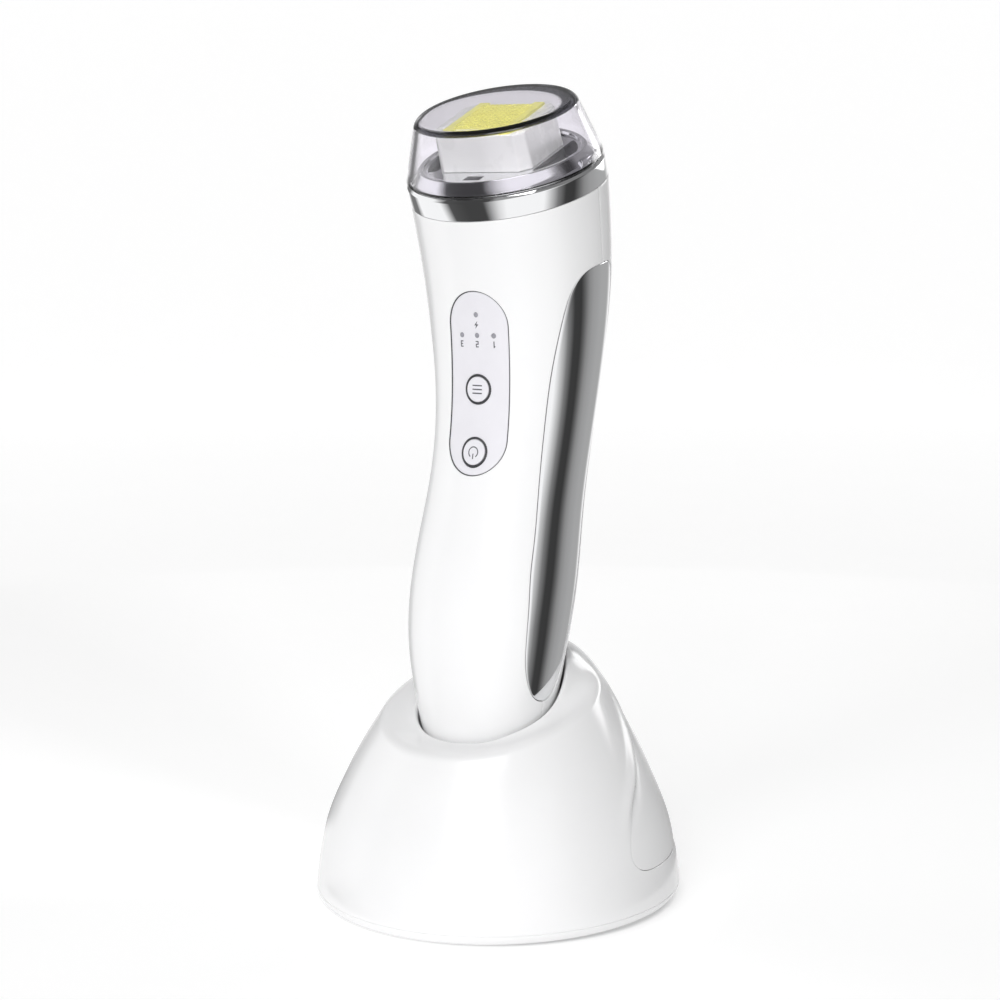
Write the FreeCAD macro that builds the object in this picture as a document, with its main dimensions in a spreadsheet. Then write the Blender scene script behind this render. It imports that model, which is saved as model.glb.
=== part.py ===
import FreeCAD, Part
import math, os
from FreeCAD import Vector, Placement, Rotation

doc = FreeCAD.newDocument("skin_tightening_device")

# ---------------------------------------------------------------- dimensions
sheet = doc.addObject("Spreadsheet::Sheet", "Dims")
_row = [0]


def dim(alias, value):
    _row[0] += 1
    cell = "A%d" % _row[0]
    sheet.set(cell, str(value))
    sheet.setAlias(cell, alias)


def table(prefix, values):
    for i, v in enumerate(values):
        dim("%s_n%02d_" % (prefix, i), v)


# handset axis: height, depth of centre, half width, half depth of the oval section
HAND_Z = [33.0, 46.52, 64.75, 82.99, 101.23, 119.46, 137.70, 157.24, 176.78]
HAND_Y = [-5.675, -5.695, -5.455, -1.705, 3.075, 7.025, 8.835, 8.315, 4.525]
HAND_A = [14.75, 17.27, 20.44, 21.39, 20.58, 21.05, 22.66, 24.35, 25.44]
HAND_B = [14.10, 16.09, 18.08, 18.24, 17.24, 17.59, 19.06, 20.93, 22.50]
table("hand_z", HAND_Z)
table("hand_y", HAND_Y)
table("hand_a", HAND_A)
table("hand_b", HAND_B)
# chrome side strip: height fraction and half angle
STRIP_T = [0.045, 0.055, 0.08, 0.11, 0.15, 0.215, 0.265, 0.33, 0.40, 0.48, 0.56, 0.64, 0.72, 0.78, 0.82, 0.85, 0.86]
STRIP_W = [0.0, 11.0, 18.2, 22.6, 25.0, 27.7, 30.3, 31.6, 33.4, 35.7, 37.2, 37.2, 34.6, 31.2, 27.0, 18.5, 0.0]
table("strip_t", STRIP_T)
table("strip_w", STRIP_W)
# charging base: height and half width of the outline, plus depth ratio and centre
BASE_Z = [0.0, 3.0, 9.0, 18.0, 32.0, 46.0, 58.0, 70.0, 80.0]
BASE_A = [43.41, 45.20, 44.76, 43.32, 37.99, 30.43, 22.32, 11.93, 1.38]
table("base_z", BASE_Z)
table("base_a", BASE_A)
table("base_ratio", [1.069, 0.993, 1.045])
table("base_yc", [0.137, 0.755, 6.659])
# edge of the well that the handset stands in: depth and height
WELL_Y = [-26.375, -22.375, -20.375, -17.675, -13.975, -8.475, -3.075, 1.525, 4.625, 8.625, 12.625, 15.625]
WELL_Z = [42.0, 42.8, 43.5, 44.9, 46.6, 49.2, 52.7, 57.2, 60.4, 62.9, 64.0, 64.2]
table("well_y", WELL_Y)
table("well_z", WELL_Z)
# outline of the rear cover seen from the side: depth and height
REAR_Y = [19.125, 16.825, 14.625, 12.225, 10.025, 7.225, 3.825, 0.225, -3.175, -5.775, -7.575, -7.775, -5.975, -2.375, 2.125]
REAR_Z = [56.0, 51.7, 46.6, 42.4, 39.2, 35.9, 32.4, 29.4, 26.2, 22.8, 19.0, 16.2, 13.8, 12.5, 12.2]
table("rear_y", REAR_Y)
table("rear_z", REAR_Z)

for alias, value in [
    ("wall", 2.4), ("strip_sink", 0.25), ("strip_floor", 1.5), ("strip_back", 1.45), ("strip_gap", 0.15),
    ("panel_w", 16.6), ("panel_len", 44.4), ("panel_zmid", 129.5), ("panel_sink", 0.04), ("panel_back", 0.84),
    ("panel_floor", 0.9), ("panel_gap", 0.22),
    ("button_d", 6.2), ("button_proud", 0.4), ("bezel_od", 7.5), ("bezel_id", 6.4), ("bezel_proud", 0.12),
    ("button_hole", 7.6), ("bezel_back_y", -7.275), ("flange_d", 7.3), ("flange_t", 0.8), ("stem_d", 3.0),
    ("mode_zc", 128.0), ("power_zc", 112.8), ("button_free", 0.05),
    ("light_d", 1.2), ("light_hole", 1.34), ("charge_zc", 146.1), ("level_zc", 141.1), ("level_pitch", 4.6),
    ("board_w", 26.0), ("board_len", 51.0), ("board_t", 1.6), ("board_zmid", 127.7), ("board_front_y", -0.375),
    ("board_hole_d", 2.1), ("board_hole_x", 10.6), ("board_hole_v", 23.2),
    ("switch_w", 6.0), ("switch_deep", 3.5), ("plunger_d", 3.4), ("plunger_top_y", -4.675), ("plunger_bot_y", -3.275),
    ("plunger_hole_d", 3.6), ("plunger_hole_y", -1.875),
    ("led_w", 1.6), ("led_tall", 0.8), ("led_deep", 0.7),
    ("boss_d", 4.6), ("boss_bore", 2.0), ("screw_d", 1.96), ("screw_head_d", 3.6), ("screw_head_t", 1.3), ("screw_len", 5.0),
    ("shell_screw_lo_z", 98.7), ("shell_screw_hi_z", 160.5), ("shell_boss_d", 5.4), ("shell_screw_d", 2.26),
    ("shell_bore", 2.3), ("shell_head_d", 4.0), ("shell_cbore_d", 4.3), ("plug_d", 4.24), ("plug_t", 1.6),
    ("coil_d", 14.6), ("coil_core_d", 8.0), ("coil_h", 12.0), ("coil_flange", 1.0), ("coil_z", 137.5), ("coil_y", 8.725),
    ("winding_d", 13.4), ("lead_d", 1.0), ("lead_x", 4.2),
    ("cell_d", 14.2), ("cell_len", 49.5), ("cell_y", -2.375), ("cell_z", 44.8), ("holder_wall", 1.1), ("holder_gap", 0.1),
    ("stud_x", 6.0), ("stud_d", 3.0), ("stud_hole", 3.1), ("stud_head_d", 4.6), ("stud_head_t", 0.8), ("stud_z", 33.3),
    ("block_w", 19.0), ("block_d", 9.0), ("block_h", 4.2), ("contact_y", -5.675),
    ("head_y", 4.525), ("head_z", 176.78), ("head_tilt", 21.94), ("head_a", 25.44), ("head_b", 22.50),
    ("ring_h", 5.5), ("ring_wall", 2.0),
    ("collar_base_a", 24.5), ("collar_base_b", 21.6), ("collar_base_t", 0.3),
    ("collar_low_a", 22.9), ("collar_low_b", 20.1), ("collar_top_a", 21.5), ("collar_top_b", 19.1), ("collar_h", 2.9),
    ("collar_rim", 1.3), ("collar_dish", 0.9), ("collar_plug_a", 23.34), ("collar_plug_b", 20.4), ("collar_plug_h", 3.0),
    ("collar_plug_wall", 1.6), ("collar_hole_w", 15.0), ("collar_hole_d", 13.0),
    ("catch_w", 4.4), ("catch_t", 1.2), ("catch_proud", 0.12), ("slot_w", 4.6), ("slot_d", 2.4),
    ("hblock_w", 26.2), ("hblock_d", 20.5), ("hblock_cut", 2.4), ("hblock_h", 9.2), ("hblock_wall", 2.0),
    ("hblock_roof", 1.8), ("hblock_draft", 2.5),
    ("plate_w", 18.4), ("plate_d", 15.0), ("plate_tab", 1.55), ("plate_tab_w", 2.8), ("plate_t", 0.5),
    ("dot_d", 0.75), ("dot_h", 0.25), ("dot_pitch", 1.25), ("dot_count", 12),
    ("hboard_w", 16.4), ("hboard_d", 14.6), ("hboard_t", 1.2), ("hboard_h", 5.6),
    ("cap_foot", 5.95), ("cap_top", 20.25), ("cap_low_a", 25.3), ("cap_low_b", 22.4), ("cap_top_a", 20.75), ("cap_top_b", 19.1),
    ("cap_wall", 1.55), ("cap_roof", 1.6), ("cap_round", 1.5),
    ("rim_z", 52.723), ("rim_tilt", 18.2), ("lip_back", 2.2), ("lip_reach", 3.4), ("dish_reach", 4.6),
    ("well_gap", 0.55), ("well_lip", 1.35), ("well_floor_z", 32.85), ("well_wall", 2.1),
    ("seam_z", 3.0), ("base_foot_z", 0.5), ("base_wall", 3.6), ("rear_sink", 1.0), ("rear_back", 2.4), ("rear_gap", 0.12),
    ("rear_top_z", 58.2),
    ("floor_lip_t", 1.5), ("floor_lip_h", 2.2), ("floor_lip_gap", 0.15),
    ("foot_d", 9.0), ("foot_h", 1.5), ("foot_pos", 34.0), ("foot_pocket_d", 9.2),
    ("bscrew_pos", 24.2), ("bscrew_d", 2.96), ("bscrew_bore", 3.0), ("bscrew_pass", 3.3), ("bscrew_head_d", 5.4),
    ("bscrew_head_t", 1.2), ("bscrew_cbore_d", 5.9), ("bscrew_cbore_t", 1.3), ("bscrew_len", 9.0), ("column_d", 7.4),
    ("cboard_w", 26.0), ("cboard_y_front", -14.0), ("cboard_y_back", 36.0), ("cboard_t", 1.6), ("cboard_z", 20.4),
    ("pillar_d", 5.6), ("pillar_x", 10.4), ("pillar_y_front", -12.0), ("pillar_y_back", 27.0), ("pillar_bore", 2.0),
    ("cscrew_pass", 2.3), ("cscrew_head_d", 3.8), ("cscrew_head_t", 1.3), ("cscrew_len", 5.5), ("cscrew_d", 1.96),
    ("housing_w", 20.0), ("housing_d", 8.0), ("housing_z", 22.0), ("housing_top", 30.6),
    ("pin_d", 1.8), ("pin_hole", 2.1), ("pin_flange_d", 2.5), ("pin_flange_t", 0.9), ("pin_top_z", 33.22), ("pin_bore_d", 2.9),
    ("pin_shoulder_z", 29.4), ("pin_bore_floor_z", 23.0), ("spring_d", 2.1), ("spring_wire", 0.3), ("spring_turns", 5),
    ("socket_w", 9.0), ("socket_h", 3.26), ("socket_t", 0.33), ("socket_len", 8.0), ("tongue_w", 6.6), ("tongue_h", 0.7),
    ("tongue_len", 6.2), ("socket_clear", 0.2),
]:
    dim(alias, value)
doc.recompute()


def val(alias):
    return float(sheet.get(alias))


def row(prefix, count):
    return [val("%s_n%02d_" % (prefix, i)) for i in range(count)]


def ex(text):
    """Expression text: words that name a cell get the sheet's prefix."""
    out = ""
    word = ""
    for ch in text + " ":
        if ch.isalnum() or ch in "_.":
            word += ch
        else:
            if word and word[0].isalpha():
                word = "Dims." + word
            out += word + ch
            word = ""
    return out.strip()


# ---------------------------------------------------------------- curve maths
def natural_spline(xs, ys):
    n = len(xs)
    h = [xs[i + 1] - xs[i] for i in range(n - 1)]
    m = [0.0] * n
    low, dia, rhs = [0.0] * n, [1.0] * n, [0.0] * n
    up = [0.0] * n
    for i in range(1, n - 1):
        low[i], dia[i], up[i] = h[i - 1], 2 * (h[i - 1] + h[i]), h[i]
        rhs[i] = 6 * ((ys[i + 1] - ys[i]) / h[i] - (ys[i] - ys[i - 1]) / h[i - 1])
    for i in range(1, n):
        f = low[i] / dia[i - 1]
        dia[i] -= f * up[i - 1]
        rhs[i] -= f * rhs[i - 1]
    m[-1] = rhs[-1] / dia[-1]
    for i in range(n - 2, -1, -1):
        m[i] = (rhs[i] - up[i] * m[i + 1]) / dia[i]

    def f(x):
        i = 0
        while i < n - 2 and x > xs[i + 1]:
            i += 1
        a, b = (xs[i + 1] - x) / h[i], (x - xs[i]) / h[i]
        return a * ys[i] + b * ys[i + 1] + ((a ** 3 - a) * m[i] + (b ** 3 - b) * m[i + 1]) * h[i] ** 2 / 6
    return f


def monotone_spline(xs, ys):
    n = len(xs)
    h = [xs[i + 1] - xs[i] for i in range(n - 1)]
    d = [(ys[i + 1] - ys[i]) / h[i] for i in range(n - 1)]
    m = [0.0] * n
    for i in range(1, n - 1):
        if d[i - 1] * d[i] > 0:
            w1, w2 = 2 * h[i] + h[i - 1], h[i] + 2 * h[i - 1]
            m[i] = (w1 + w2) / (w1 / d[i - 1] + w2 / d[i])

    def end(h0, h1, d0, d1):
        e = ((2 * h0 + h1) * d0 - h0 * d1) / (h0 + h1)
        if e * d0 <= 0:
            return 0.0
        if d0 * d1 <= 0 and abs(e) > 3 * abs(d0):
            return 3 * d0
        return e
    m[0] = end(h[0], h[1], d[0], d[1])
    m[-1] = end(h[-1], h[-2], d[-1], d[-2])

    def f(x):
        x = min(max(x, xs[0]), xs[-1])
        i = 0
        while i < n - 2 and x > xs[i + 1]:
            i += 1
        t = (x - xs[i]) / h[i]
        return (ys[i] * (1 + 2 * t) * (1 - t) ** 2 + m[i] * h[i] * t * (1 - t) ** 2
                + ys[i + 1] * t * t * (3 - 2 * t) + m[i + 1] * h[i] * t * t * (t - 1))
    return f


def parabola(v0, v1, v2):
    return lambda z: (v0 * (z - 40) * (z - 80) / 3200.0 - v1 * z * (z - 80) / 1600.0 + v2 * z * (z - 40) / 3200.0)


def closed_wire(points, even=False):
    """A smooth closed curve; even spaces its knots alike, so that stacked rings share them."""
    c = Part.BSplineCurve()
    if even:
        c.interpolate(Points=points, PeriodicFlag=True, Parameters=[float(i) for i in range(len(points) + 1)])
    else:
        c.interpolate(Points=points, PeriodicFlag=True)
    return Part.Wire([c.toShape()])


def skin(rings):
    s = Part.makeLoft([closed_wire(r, True) for r in rings], True, False, False)
    if s.Volume < 0:
        s.reverse()
    return s


# ---------------------------------------------------------------- handset form
hz = row("hand_z", 9)
spine = natural_spline(hz, row("hand_y", 9))
half_w = natural_spline(hz, row("hand_a", 9))
half_d = natural_spline(hz, row("hand_b", 9))
TILT = math.radians(val("head_tilt"))
HZ0, HZ1 = 46.52, val("head_z")
LOW_Z = hz[0]
N_RING = 40


def lean(z):
    t = (z - HZ0) / (HZ1 - HZ0)
    w = min(max((t - 0.7) / 0.3, 0.0), 1.0) ** 2
    e = 0.05
    slope = (spine(z + e) - spine(z - e)) / (2 * e)
    return -math.atan(slope) * (1 - w) + TILT * w


def hand_point(z, ang, off=0.0, dz=0.0):
    ph = lean(z)
    a, b = half_w(z) - off, half_d(z) - off
    s = b * math.sin(ang)
    return Vector(a * math.cos(ang), spine(z) + s * math.cos(ph), z + s * math.sin(ph) + dz)


HAND_LEVELS = [33.0, 34.2, 38.5, 43, 48, 54, 60, 66, 72, 79, 87, 95, 103, 111, 119, 127, 135, 143, 151, 158, 164, 169, 173, 176.78]
ANGLES = [math.radians(63) + 2 * math.pi * i / N_RING for i in range(N_RING)]


def hand_solid(off, low=None, over=0.0):
    """The handset's form, smaller by off all round; over carries it past the head plane."""
    rings = []
    low = LOW_Z if low is None else low
    rings.append([Vector((half_w(low) - off - 1.3) * math.cos(t), spine(low) + (half_d(low) - off - 1.3) * math.sin(t), low) for t in ANGLES])
    rings.append([Vector((half_w(low + .35) - off - .45) * math.cos(t), spine(low) + (half_d(low + .35) - off - .45) * math.sin(t), low + 0.35) for t in ANGLES])
    for z in HAND_LEVELS:
        if z > low + 0.9:
            rings.append([hand_point(z, t, off) for t in ANGLES])
    if over:
        ax = Vector(0, -math.sin(TILT), math.cos(TILT)) * over
        rings.append([p + ax * 0.5 for p in rings[-1]])
        rings.append([p + ax * 0.5 for p in rings[-1]])
    return skin(rings)


def head_placement(h=0.0, turn=0.0):
    base = Vector(0, val("head_y") - h * math.sin(TILT), val("head_z") + h * math.cos(TILT))
    return Placement(base, Rotation(Vector(1, 0, 0), math.degrees(TILT)).multiply(Rotation(Vector(0, 0, 1), turn)))


form_0 = hand_solid(0.0)
form_out = hand_solid(-val("button_proud"))
form_bezel = hand_solid(-val("bezel_proud"))
form_panel = hand_solid(val("panel_sink"))
form_strip = hand_solid(val("strip_sink"))
form_panel_back = hand_solid(val("panel_back"))
form_panel_floor = hand_solid(val("panel_floor"))
form_strip_back = hand_solid(val("strip_back"))
form_strip_floor = hand_solid(val("strip_floor"))
form_in = hand_solid(val("wall"), LOW_Z + val("wall"), 4.0)
form_boss = hand_solid(val("wall") - 0.8, LOW_Z + val("wall") - 0.8)

# half space in front of the spine surface
sp = [Vector(0, spine(z), z) for z in [26 + 4 * i for i in range(38)]]
sp.append(Vector(0, val("head_y") - 6 * math.sin(TILT), val("head_z") + 6 * math.cos(TILT)))
curve = Part.BSplineCurve()
curve.interpolate(Points=sp)
a_, b_ = Vector(0, -60, sp[-1].z), Vector(0, -60, sp[0].z)
split_face = Part.Face(Part.Wire([curve.toShape(), Part.makeLine(sp[-1], a_), Part.makeLine(a_, b_), Part.makeLine(b_, sp[0])]))
split_face.translate(Vector(-45, 0, 0))
front_half = split_face.extrude(Vector(90, 0, 0))

# side strip outline, drawn from the side and carried across the body
st, sw = row("strip_t", 17), row("strip_w", 17)


def strip_outline(grow):
    pts = []
    front, back = [], []
    for t, w in zip(st, sw):
        z = HZ0 + (HZ1 - HZ0) * t
        c = -9.0 * (0.86 - t) / 0.8
        front.append(hand_point(z, math.radians(c - w)))
        back.append(hand_point(z, math.radians(c + w)))
    loop = front + back[-2:0:-1]
    flat = [Vector(0, p.y, p.z) for p in loop]
    out = []
    for i, p in enumerate(flat):
        q, r = flat[i - 1], flat[(i + 1) % len(flat)]
        d = (r - q)
        n = Vector(0, -d.z, d.y)
        n.normalize()
        out.append(p + n * grow)
    return out


def strip_prism(grow, side):
    pts = strip_outline(grow)
    chk = strip_outline(grow + 0.01)
    if Part.Face(closed_wire(chk)).Area < Part.Face(closed_wire(pts)).Area:
        pts = strip_outline(-grow)
    f = Part.Face(closed_wire(pts))
    f.translate(Vector(3.0 * side, 0, 0))
    return f.extrude(Vector(40 * side, 0, 0))


def slot_face(w, length, zmid, y):
    r = w / 2.0
    hh = length / 2.0 - r
    p = [Vector(-r, y, zmid - hh), Vector(-r, y, zmid + hh), Vector(r, y, zmid + hh), Vector(r, y, zmid - hh)]
    top = Part.Arc(p[1], Vector(0, y, zmid + hh + r), p[2]).toShape()
    bot = Part.Arc(p[3], Vector(0, y, zmid - hh - r), p[0]).toShape()
    return Part.Face(Part.Wire([Part.makeLine(p[0], p[1]), top, Part.makeLine(p[2], p[3]), bot]))


def ycyl(x, z, d, y0, y1):
    return Part.makeCylinder(d / 2.0, y1 - y0, Vector(x, y0, z), Vector(0, 1, 0))


def zcyl(x, y, d, z0, z1):
    return Part.makeCylinder(d / 2.0, z1 - z0, Vector(x, y, z0), Vector(0, 0, 1))


def part_feature(name, shape):
    o = doc.addObject("Part::Feature", name)
    o.Label = name
    if shape.ShapeType == "Compound" and len(shape.Solids) == 1:
        shape = shape.Solids[0]
    o.Shape = shape
    return o


mode_z, power_z = val("mode_zc"), val("power_zc")
lights = [(0.0, val("charge_zc")), (-val("level_pitch"), val("level_zc")), (0.0, val("level_zc")), (val("level_pitch"), val("level_zc"))]
strip_cut_r = strip_prism(val("strip_gap"), 1).cut(form_strip_floor)
strip_cut_l = strip_cut_r.mirror(Vector(0, 0, 0), Vector(1, 0, 0))
panel_cut = slot_face(val("panel_w") + 2 * val("panel_gap"), val("panel_len") + 2 * val("panel_gap"), val("panel_zmid"), -40).extrude(Vector(0, 40, 0)).cut(form_panel_floor)
stud_cuts = [zcyl(s * val("stud_x"), val("contact_y"), val("stud_hole"), LOW_Z - 2, LOW_Z + 3.2) for s in (-1, 1)]
by = val("board_front_y")
board_bosses = [(sx * val("board_hole_x"), val("board_zmid") + sv * val("board_hole_v")) for sx in (-1, 1) for sv in (-1, 1)]
screw_levels = [val("shell_screw_lo_z"), val("shell_screw_hi_z")]

walls = form_0.cut(form_in)
front = walls.common(front_half)
boss = [ycyl(x, z, val("boss_d"), -40, by).common(form_boss) for x, z in board_bosses]
boss += [ycyl(0, z, val("shell_boss_d"), -40, spine(z) - 0.1).common(form_boss) for z in screw_levels]
front = front.fuse(boss)
front = front.cut([strip_cut_r, strip_cut_l, panel_cut] + stud_cuts
                  + [ycyl(0, z, val("button_hole"), -40, -2) for z in (mode_z, power_z)]
                  + [ycyl(x, z, val("light_hole"), -40, -2) for x, z in lights]
                  + [ycyl(x, z, val("boss_bore"), by - 5.6, by + 1) for x, z in board_bosses]
                  + [ycyl(0, z, val("shell_bore"), spine(z) - 9.0, spine(z) + 1) for z in screw_levels])
part_feature("front_shell", front)

rear = walls.cut(front_half)
boss = [ycyl(0, z, val("shell_boss_d") + 1.2, spine(z) + 0.1, 45).common(form_boss) for z in screw_levels]
rear = rear.fuse(boss)
rear = rear.cut([strip_cut_r, strip_cut_l] + stud_cuts
                + [ycyl(0, z, val("shell_bore") + 0.2, spine(z) - 1, 45) for z in screw_levels]
                + [ycyl(0, z, val("shell_cbore_d"), spine(z) + 4.0, 45) for z in screw_levels])
part_feature("rear_shell", rear)

electrode = form_strip.common(strip_prism(0.0, 1)).cut(form_strip_back)
part_feature("side_electrode_right", electrode)
part_feature("side_electrode_left", electrode.mirror(Vector(0, 0, 0), Vector(1, 0, 0)))

panel = slot_face(val("panel_w"), val("panel_len"), val("panel_zmid"), -40).extrude(Vector(0, 40, 0)).common(form_panel).cut(form_panel_back)
panel = panel.cut([ycyl(0, z, val("button_hole"), -40, -2) for z in (mode_z, power_z)] + [ycyl(x, z, val("light_hole"), -40, -2) for x, z in lights])
part_feature("control_panel", panel)

bz = []
for z in (mode_z, power_z):
    t = ycyl(0, z, val("bezel_od"), -40, val("bezel_back_y")).common(form_bezel)
    bz.append(t.cut(ycyl(0, z, val("bezel_id"), -41, 0)))
part_feature("button_bezels", Part.makeCompound(bz))


def rod_node(name, x, z, dia_cell, y0_cell, y1_cell):
    """A round rod along the pressing direction, bound to the sheet."""
    o = doc.addObject("Part::Cylinder", name)
    o.Label = name
    o.setExpression("Radius", ex("%s / 2" % dia_cell))
    o.setExpression("Height", ex("%s - %s" % (y1_cell, y0_cell)))
    o.Placement = Placement(Vector(x, val(y0_cell) if y0_cell[0].isalpha() else float(y0_cell), z), Rotation(Vector(1, 0, 0), -90))
    return o


for name, z in (("mode_button", mode_z), ("power_button", power_z)):
    flange_y = val("bezel_back_y") + val("button_free")
    stem_y = flange_y + val("flange_t")
    capb = ycyl(0, z, val("button_d"), -40, flange_y + 0.2).common(form_out)
    shape = capb.fuse([ycyl(0, z, val("flange_d"), flange_y, stem_y), ycyl(0, z, val("stem_d"), stem_y - 0.2, val("plunger_top_y"))])
    part_feature(name, shape.removeSplitter())
rod_node("mode_plunger", 0, mode_z, "plunger_d", "plunger_top_y", "plunger_bot_y")
rod_node("power_plunger", 0, power_z, "plunger_d", "plunger_top_y", "plunger_bot_y")

part_feature("charge_light", ycyl(lights[0][0], lights[0][1], val("light_d"), -40, by - 0.9).common(form_panel))
part_feature("level_lights", Part.makeCompound([ycyl(x, z, val("light_d"), -40, by - 0.9).common(form_panel) for x, z in lights[1:]]))


# ---------------------------------------------------------------- sketch helpers
def new_body(name):
    b = doc.addObject("PartDesign::Body", name)
    b.Label = name
    return b


def origin_plane(b, role="XY_Plane"):
    for f in b.Origin.OriginFeatures:
        if f.Role == role:
            return f


def new_sketch(b, name, lift=None):
    s = b.newObject("Sketcher::SketchObject", name)
    s.AttachmentSupport = [(origin_plane(b), "")]
    s.MapMode = "FlatFace"
    if lift:
        s.setExpression("AttachmentOffset.Base.z", ex(lift))
    return s


def bind(s, index, name, text):
    s.renameConstraint(index, name)
    s.setExpression("Constraints." + name, ex(text))


def add_rect(s, w, d, tag):
    """A rectangle centred on the sketch origin."""
    import Sketcher
    x, y = 5.0, 4.0
    p = [Vector(-x, -y, 0), Vector(x, -y, 0), Vector(x, y, 0), Vector(-x, y, 0)]
    g = [s.addGeometry(Part.LineSegment(p[i], p[(i + 1) % 4]), False) for i in range(4)]
    for i in range(4):
        s.addConstraint(Sketcher.Constraint("Coincident", g[i], 2, g[(i + 1) % 4], 1))
    s.addConstraint(Sketcher.Constraint("Horizontal", g[0]))
    s.addConstraint(Sketcher.Constraint("Horizontal", g[2]))
    s.addConstraint(Sketcher.Constraint("Vertical", g[1]))
    s.addConstraint(Sketcher.Constraint("Vertical", g[3]))
    s.addConstraint(Sketcher.Constraint("Symmetric", g[0], 1, g[1], 2, -1, 1))
    bind(s, s.addConstraint(Sketcher.Constraint("DistanceX", g[0], 1, g[0], 2, 2 * x)), tag + "_w", w)
    bind(s, s.addConstraint(Sketcher.Constraint("DistanceY", g[1], 1, g[1], 2, 2 * y)), tag + "_d", d)


def add_circle(s, x, y, dia, tag, xv, yv):
    import Sketcher
    g = s.addGeometry(Part.Circle(Vector(xv, yv, 0), Vector(0, 0, 1), 1.0), False)
    bind(s, s.addConstraint(Sketcher.Constraint("Diameter", g, 2.0)), tag + "_dia", dia)
    if xv:
        bind(s, s.addConstraint(Sketcher.Constraint("DistanceX", -1, 1, g, 3, xv)), tag + "_x", x)
    else:
        s.addConstraint(Sketcher.Constraint("PointOnObject", g, 3, -2))
    if yv:
        bind(s, s.addConstraint(Sketcher.Constraint("DistanceY", -1, 1, g, 3, yv)), tag + "_y", y)
    else:
        s.addConstraint(Sketcher.Constraint("PointOnObject", g, 3, -1))


def add_octagon(s, w, d, cut, tag, wv, dv, cv):
    """A rectangle with four cut corners, centred on the sketch origin."""
    import Sketcher
    x, y = wv / 2.0, dv / 2.0
    p = [(-x + cv, -y), (x - cv, -y), (x, -y + cv), (x, y - cv), (x - cv, y), (-x + cv, y), (-x, y - cv), (-x, -y + cv)]
    g = [s.addGeometry(Part.LineSegment(Vector(p[i][0], p[i][1], 0), Vector(p[(i + 1) % 8][0], p[(i + 1) % 8][1], 0)), False) for i in range(8)]
    for i in range(8):
        s.addConstraint(Sketcher.Constraint("Coincident", g[i], 2, g[(i + 1) % 8], 1))
    s.addConstraint(Sketcher.Constraint("Symmetric", g[0], 1, g[0], 2, -2))
    s.addConstraint(Sketcher.Constraint("Symmetric", g[2], 1, g[2], 2, -1))
    s.addConstraint(Sketcher.Constraint("Symmetric", g[6], 1, g[6], 2, -1))
    s.addConstraint(Sketcher.Constraint("Symmetric", g[4], 1, g[4], 2, -2))
    bind(s, s.addConstraint(Sketcher.Constraint("DistanceX", g[0], 1, g[0], 2, 2 * (x - cv))), tag + "_f", "%s - 2 * %s" % (w, cut))
    bind(s, s.addConstraint(Sketcher.Constraint("DistanceY", g[2], 1, g[2], 2, 2 * (y - cv))), tag + "_s", "%s - 2 * %s" % (d, cut))
    s.addConstraint(Sketcher.Constraint("Equal", g[0], g[4]))
    s.addConstraint(Sketcher.Constraint("Equal", g[2], g[6]))
    bind(s, s.addConstraint(Sketcher.Constraint("DistanceX", g[6], 1, g[2], 1, 2 * x)), tag + "_w", w)
    bind(s, s.addConstraint(Sketcher.Constraint("DistanceY", g[0], 1, g[4], 2, 2 * y)), tag + "_d", d)


def pad(b, s, name, length, taper=None):
    f = b.newObject("PartDesign::Pad", name)
    f.Profile = s
    f.setExpression("Length", ex(length))
    if taper:
        f.setExpression("TaperAngle", ex(taper))
    b.Tip = f
    doc.recompute()
    return f


def pocket(b, s, name, length, up):
    before = b.Shape.Volume
    f = b.newObject("PartDesign::Pocket", name)
    f.Profile = s
    f.setExpression("Length", ex(length))
    f.Reversed = up
    b.Tip = f
    doc.recompute()
    if not b.Shape.Volume < before - 1e-6:
        raise RuntimeError("pocket cut nothing: " + name)
    return f


# ---------------------------------------------------------------- handset inside
b = new_body("main_board")
s = new_sketch(b, "main_board_outline")
add_rect(s, "board_w", "board_len", "mb")
for i, (sx, sv) in enumerate([(-1, -1), (1, -1), (-1, 1), (1, 1)]):
    add_circle(s, "%d * board_hole_x" % sx, "%d * board_hole_v" % sv, "board_hole_d", "mb_hole%d" % i, sx * val("board_hole_x"), sv * val("board_hole_v"))
pad(b, s, "main_board_pad", "board_t")
b.Placement = Placement(Vector(0, by + val("board_t"), val("board_zmid")), Rotation(Vector(1, 0, 0), 90))


def box(name, lx, ly, lz, pos):
    o = doc.addObject("Part::Box", name)
    o.setExpression("Length", ex(lx))
    o.setExpression("Width", ex(ly))
    o.setExpression("Height", ex(lz))
    o.Placement = Placement(Vector(*pos), Rotation())
    return o


def compound(name, objs):
    o = doc.addObject("Part::Compound", name)
    o.Label = name
    o.Links = objs
    return o


bt = by + val("board_t")
compound("board_chips", [box("chip_a", "board_w * 0.27", "board_t", "board_w * 0.27", (-9.5, bt, 112.0)),
                         box("chip_b", "board_w * 0.2", "board_t", "board_w * 0.15", (3.0, bt, 114.0)),
                         box("chip_c", "board_w * 0.15", "board_t * 2", "board_w * 0.15", (4.0, bt, 122.5)),
                         box("chip_d", "board_w * 0.12", "board_t * 1.5", "board_w * 0.3", (-9.5, bt, 123.0))])
sw_objs = []
for tag, z in (("mode", mode_z), ("power", power_z)):
    o = box("switch_case_" + tag, "switch_w", "switch_deep", "switch_w", (-val("switch_w") / 2, by - val("switch_deep"), z - val("switch_w") / 2))
    h = rod_node("switch_well_" + tag, 0, z, "plunger_hole_d", "-20", "plunger_hole_y")
    c = doc.addObject("Part::Cut", "switch_" + tag)
    c.Base, c.Tool = o, h
    sw_objs.append(c)
compound("switch_bodies", sw_objs)
compound("indicator_leds", [box("led_%d" % i, "led_w", "led_deep", "led_tall", (x - val("led_w") / 2, by - val("led_deep"), z - val("led_tall") / 2)) for i, (x, z) in enumerate(lights)])


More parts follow.
